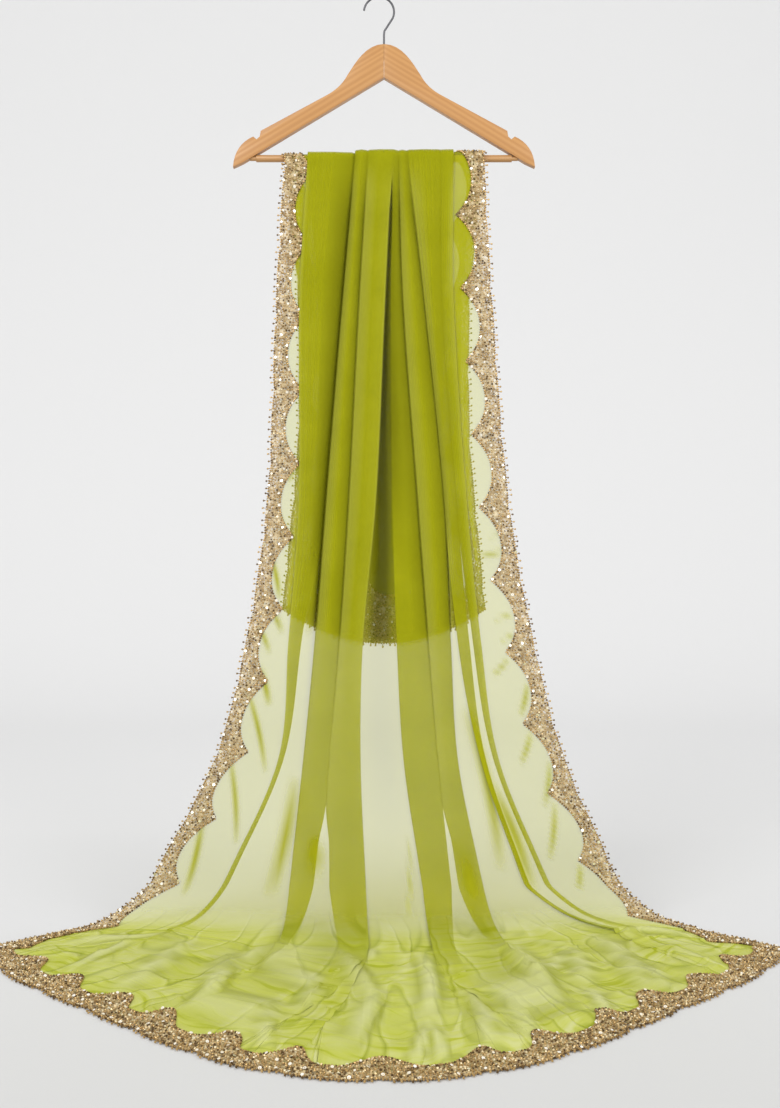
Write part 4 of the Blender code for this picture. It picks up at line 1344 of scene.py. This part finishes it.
def gold_beads():
    """Gilt and cream glass beads of uneven colour, and paler sequins; the tone of each tells which."""
    material, tree, shader = new_material("gilt_beads", 0.3, 0.5)
    tone = new_node(tree, "ShaderNodeAttribute", attribute_name="tone").outputs["Fac"]
    colour = colour_ramp(
        tree,
        tone,
        (
            (0.00, (0.095, 0.055, 0.020)),
            (0.14, (0.17, 0.100, 0.038)),
            (0.24, (0.41, 0.260, 0.098)),
            (0.56, (0.53, 0.360, 0.150)),
            (0.68, (0.70, 0.540, 0.290)),
            (0.80, (0.84, 0.740, 0.500)),
            (0.88, (0.86, 0.78, 0.62)),
            (1.00, (0.97, 0.93, 0.84)),
        ),
    )
    gloss = map_range(tree, tone, (0.80, 0.86), (0.30, 0.14))
    metal = map_range(tree, tone, (0.45, 0.70), (0.65, 0.35))
    place = new_node(tree, "ShaderNodeTexCoord")
    pits = new_node(tree, "ShaderNodeTexNoise", [("Vector", place.outputs["Object"]), ("Scale", 900.0)])
    tree.links.new(colour, shader.inputs["Base Color"])
    tree.links.new(gloss, shader.inputs["Roughness"])
    tree.links.new(metal, shader.inputs["Metallic"])
    tree.links.new(bumped(tree, pits.outputs["Fac"], 0.3, 0.0003), shader.inputs["Normal"])
    return material


def lace_net():
    """Cream and gold thread net, close in some places and open in others."""
    material, tree, shader = new_material("lace_net", 0.6)
    lace = new_node(tree, "ShaderNodeUVMap", uv_map="lace")
    cells = new_node(
        tree,
        "ShaderNodeTexVoronoi",
        [("Vector", lace.outputs[0]), ("Scale", 210.0), ("Randomness", 0.75)],
        feature="DISTANCE_TO_EDGE",
    )
    thread = map_range(tree, cells.outputs["Distance"], (0.10, 0.26), (0.92, 0.38))
    patches = new_node(tree, "ShaderNodeTexNoise", [("Vector", lace.outputs[0]), ("Scale", 90.0)])
    golds = ((0.36, (0.32, 0.22, 0.09)), (0.54, (0.50, 0.37, 0.18)), (0.70, (0.74, 0.62, 0.40)))
    tree.links.new(colour_ramp(tree, patches.outputs["Fac"], golds), shader.inputs["Base Color"])
    tree.links.new(thread, shader.inputs["Alpha"])
    tree.links.new(bumped(tree, thread, 0.6, 0.0006), shader.inputs["Normal"])
    return material


def beaded(net, tree, material, seed, name):
    """What the bead nodes make on a net, as a plain mesh of its own."""
    modifier = net.modifiers.new("beads", "NODES")
    modifier.node_group = tree
    sockets = {item.name: item.identifier for item in tree.interface.items_tree if item.in_out == "INPUT"}
    modifier[sockets["Seed"]] = seed
    modifier[sockets["Material"]] = material
    evaluated = net.evaluated_get(bpy.context.evaluated_depsgraph_get())
    mesh = bpy.data.meshes.new_from_object(evaluated)
    mesh.name = name
    net.modifiers.remove(modifier)
    return add_object(name, mesh)


def drop_loose_points(piece):
    """Takes away the points that only carried edging and fringe beads."""
    work = bmesh.new()
    work.from_mesh(piece.data)
    bmesh.ops.delete(work, geom=[v for v in work.verts if not v.link_faces], context="VERTS")
    work.to_mesh(piece.data)
    work.free()


BEADS = gold_beads()
NET = lace_net()
BEAD_TREE = scattered_beads()
for name, nets, flips, seed in (
    ("border_left", [side_border(-1)], [1], 11),
    ("border_right", [side_border(1)], [-1], 23),
    ("border_front_hem", [front_hem_border()], [1], 37),
    ("border_back_hem", [back_hem_border(False), back_hem_border(True)], [1, -1], 41),
):
    net = net_piece(name + "_net", nets, flips)
    beads = beaded(net, BEAD_TREE, BEADS, seed, name + "_beads")
    drop_loose_points(net)
    net.data.materials.append(NET)
    for piece in (net, beads):
        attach(piece, "root")
    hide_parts(name)

# ---------------------------------------------------------------------------------------------------
# Studio. A pale seamless floor that sweeps up behind, a broad soft light in front and a level camera.
# ---------------------------------------------------------------------------------------------------
FLOOR_HALF_WIDTH = 9.0
FLOOR_FRONT_Y = -8.0
SWEEP_START_Y = 2.2
SWEEP_RADIUS = 2.5
WALL_TOP_Z = 8.0


def seamless_backdrop():
    """A floor, a quarter-round sweep and a wall, as one smooth sheet just under the train."""
    floor_z = FLOOR_Z - 0.0003
    profile = [(FLOOR_FRONT_Y, floor_z), (SWEEP_START_Y, floor_z)]
    for i in range(1, 25):
        angle = math.pi / 2 * i / 24
        y = SWEEP_START_Y + SWEEP_RADIUS * math.sin(angle)
        profile.append((y, floor_z + SWEEP_RADIUS * (1 - math.cos(angle))))
    profile.append((SWEEP_START_Y + SWEEP_RADIUS, WALL_TOP_Z))
    mesh = bpy.data.meshes.new("backdrop")
    points = [(side * FLOOR_HALF_WIDTH, y, z) for y, z in profile for side in (-1, 1)]
    faces = [(2 * i, 2 * i + 1, 2 * i + 3, 2 * i + 2) for i in range(len(profile) - 1)]
    mesh.from_pydata(points, [], faces)
    mesh.shade_smooth()
    backdrop = add_object("backdrop", mesh)
    paper, tree, shader = new_material("pale_paper", 0.9)
    place = new_node(tree, "ShaderNodeTexCoord")
    parts = new_node(tree, "ShaderNodeSeparateXYZ", [("Vector", place.outputs["Object"])])
    # painted shade: the paper is darker on the floor in front and lighter towards the sweep and the wall
    depth = map_range(tree, parts.outputs["Y"], (-1.2, 3.2))
    paper_greys_with_painted_shade = ((0.0, (0.540, 0.540, 0.535)), (0.42, (0.78, 0.78, 0.778)), (1.0, (0.83, 0.83, 0.83)))
    tree.links.new(colour_ramp(tree, depth, paper_greys_with_painted_shade), shader.inputs["Base Color"])
    shader.inputs["Specular IOR Level"].default_value = 0.1
    mesh.materials.append(paper)


def soft_box(name, place, target, width, height, power):
    """A soft rectangular light aimed at a point."""
    lamp = bpy.data.lights.new(name, "AREA")
    lamp.shape = "RECTANGLE"
    lamp.size = width
    lamp.size_y = height
    lamp.energy = power
    holder = add_object(name, lamp)
    holder.location = place
    holder.rotation_euler = (Vector(target) - Vector(place)).to_track_quat("-Z", "Y").to_euler()


seamless_backdrop()
MIDDLE_OF_STOLE = (0, 0, -0.6)
soft_box("key", (-2.6, -3.6, 1.6), MIDDLE_OF_STOLE, 2.6, 3.0, 120)
soft_box("fill", (3.0, -3.4, 0.6), MIDDLE_OF_STOLE, 2.6, 3.0, 90)
world = bpy.data.worlds.new("studio_air")
bpy.context.scene.world = world
world.use_nodes = True
world.node_tree.nodes["Background"].inputs["Color"].default_value = (1.0, 1.0, 1.0, 1)
world.node_tree.nodes["Background"].inputs["Strength"].default_value = 0.80

CAMERA_PLACE = (0.0161, -2.0, -0.814)
LENS = 44.383  # millimetres, on Blender's own 36 mm sensor
camera_data = bpy.data.cameras.new("camera")
camera_data.lens = LENS
camera = add_object("camera", camera_data)
camera.location = CAMERA_PLACE
camera.rotation_euler = (math.pi / 2, 0, 0)
bpy.context.scene.camera = camera
bpy.context.scene.view_settings.view_transform = "Standard"
bpy.context.scene.cycles.transparent_max_bounces = 64
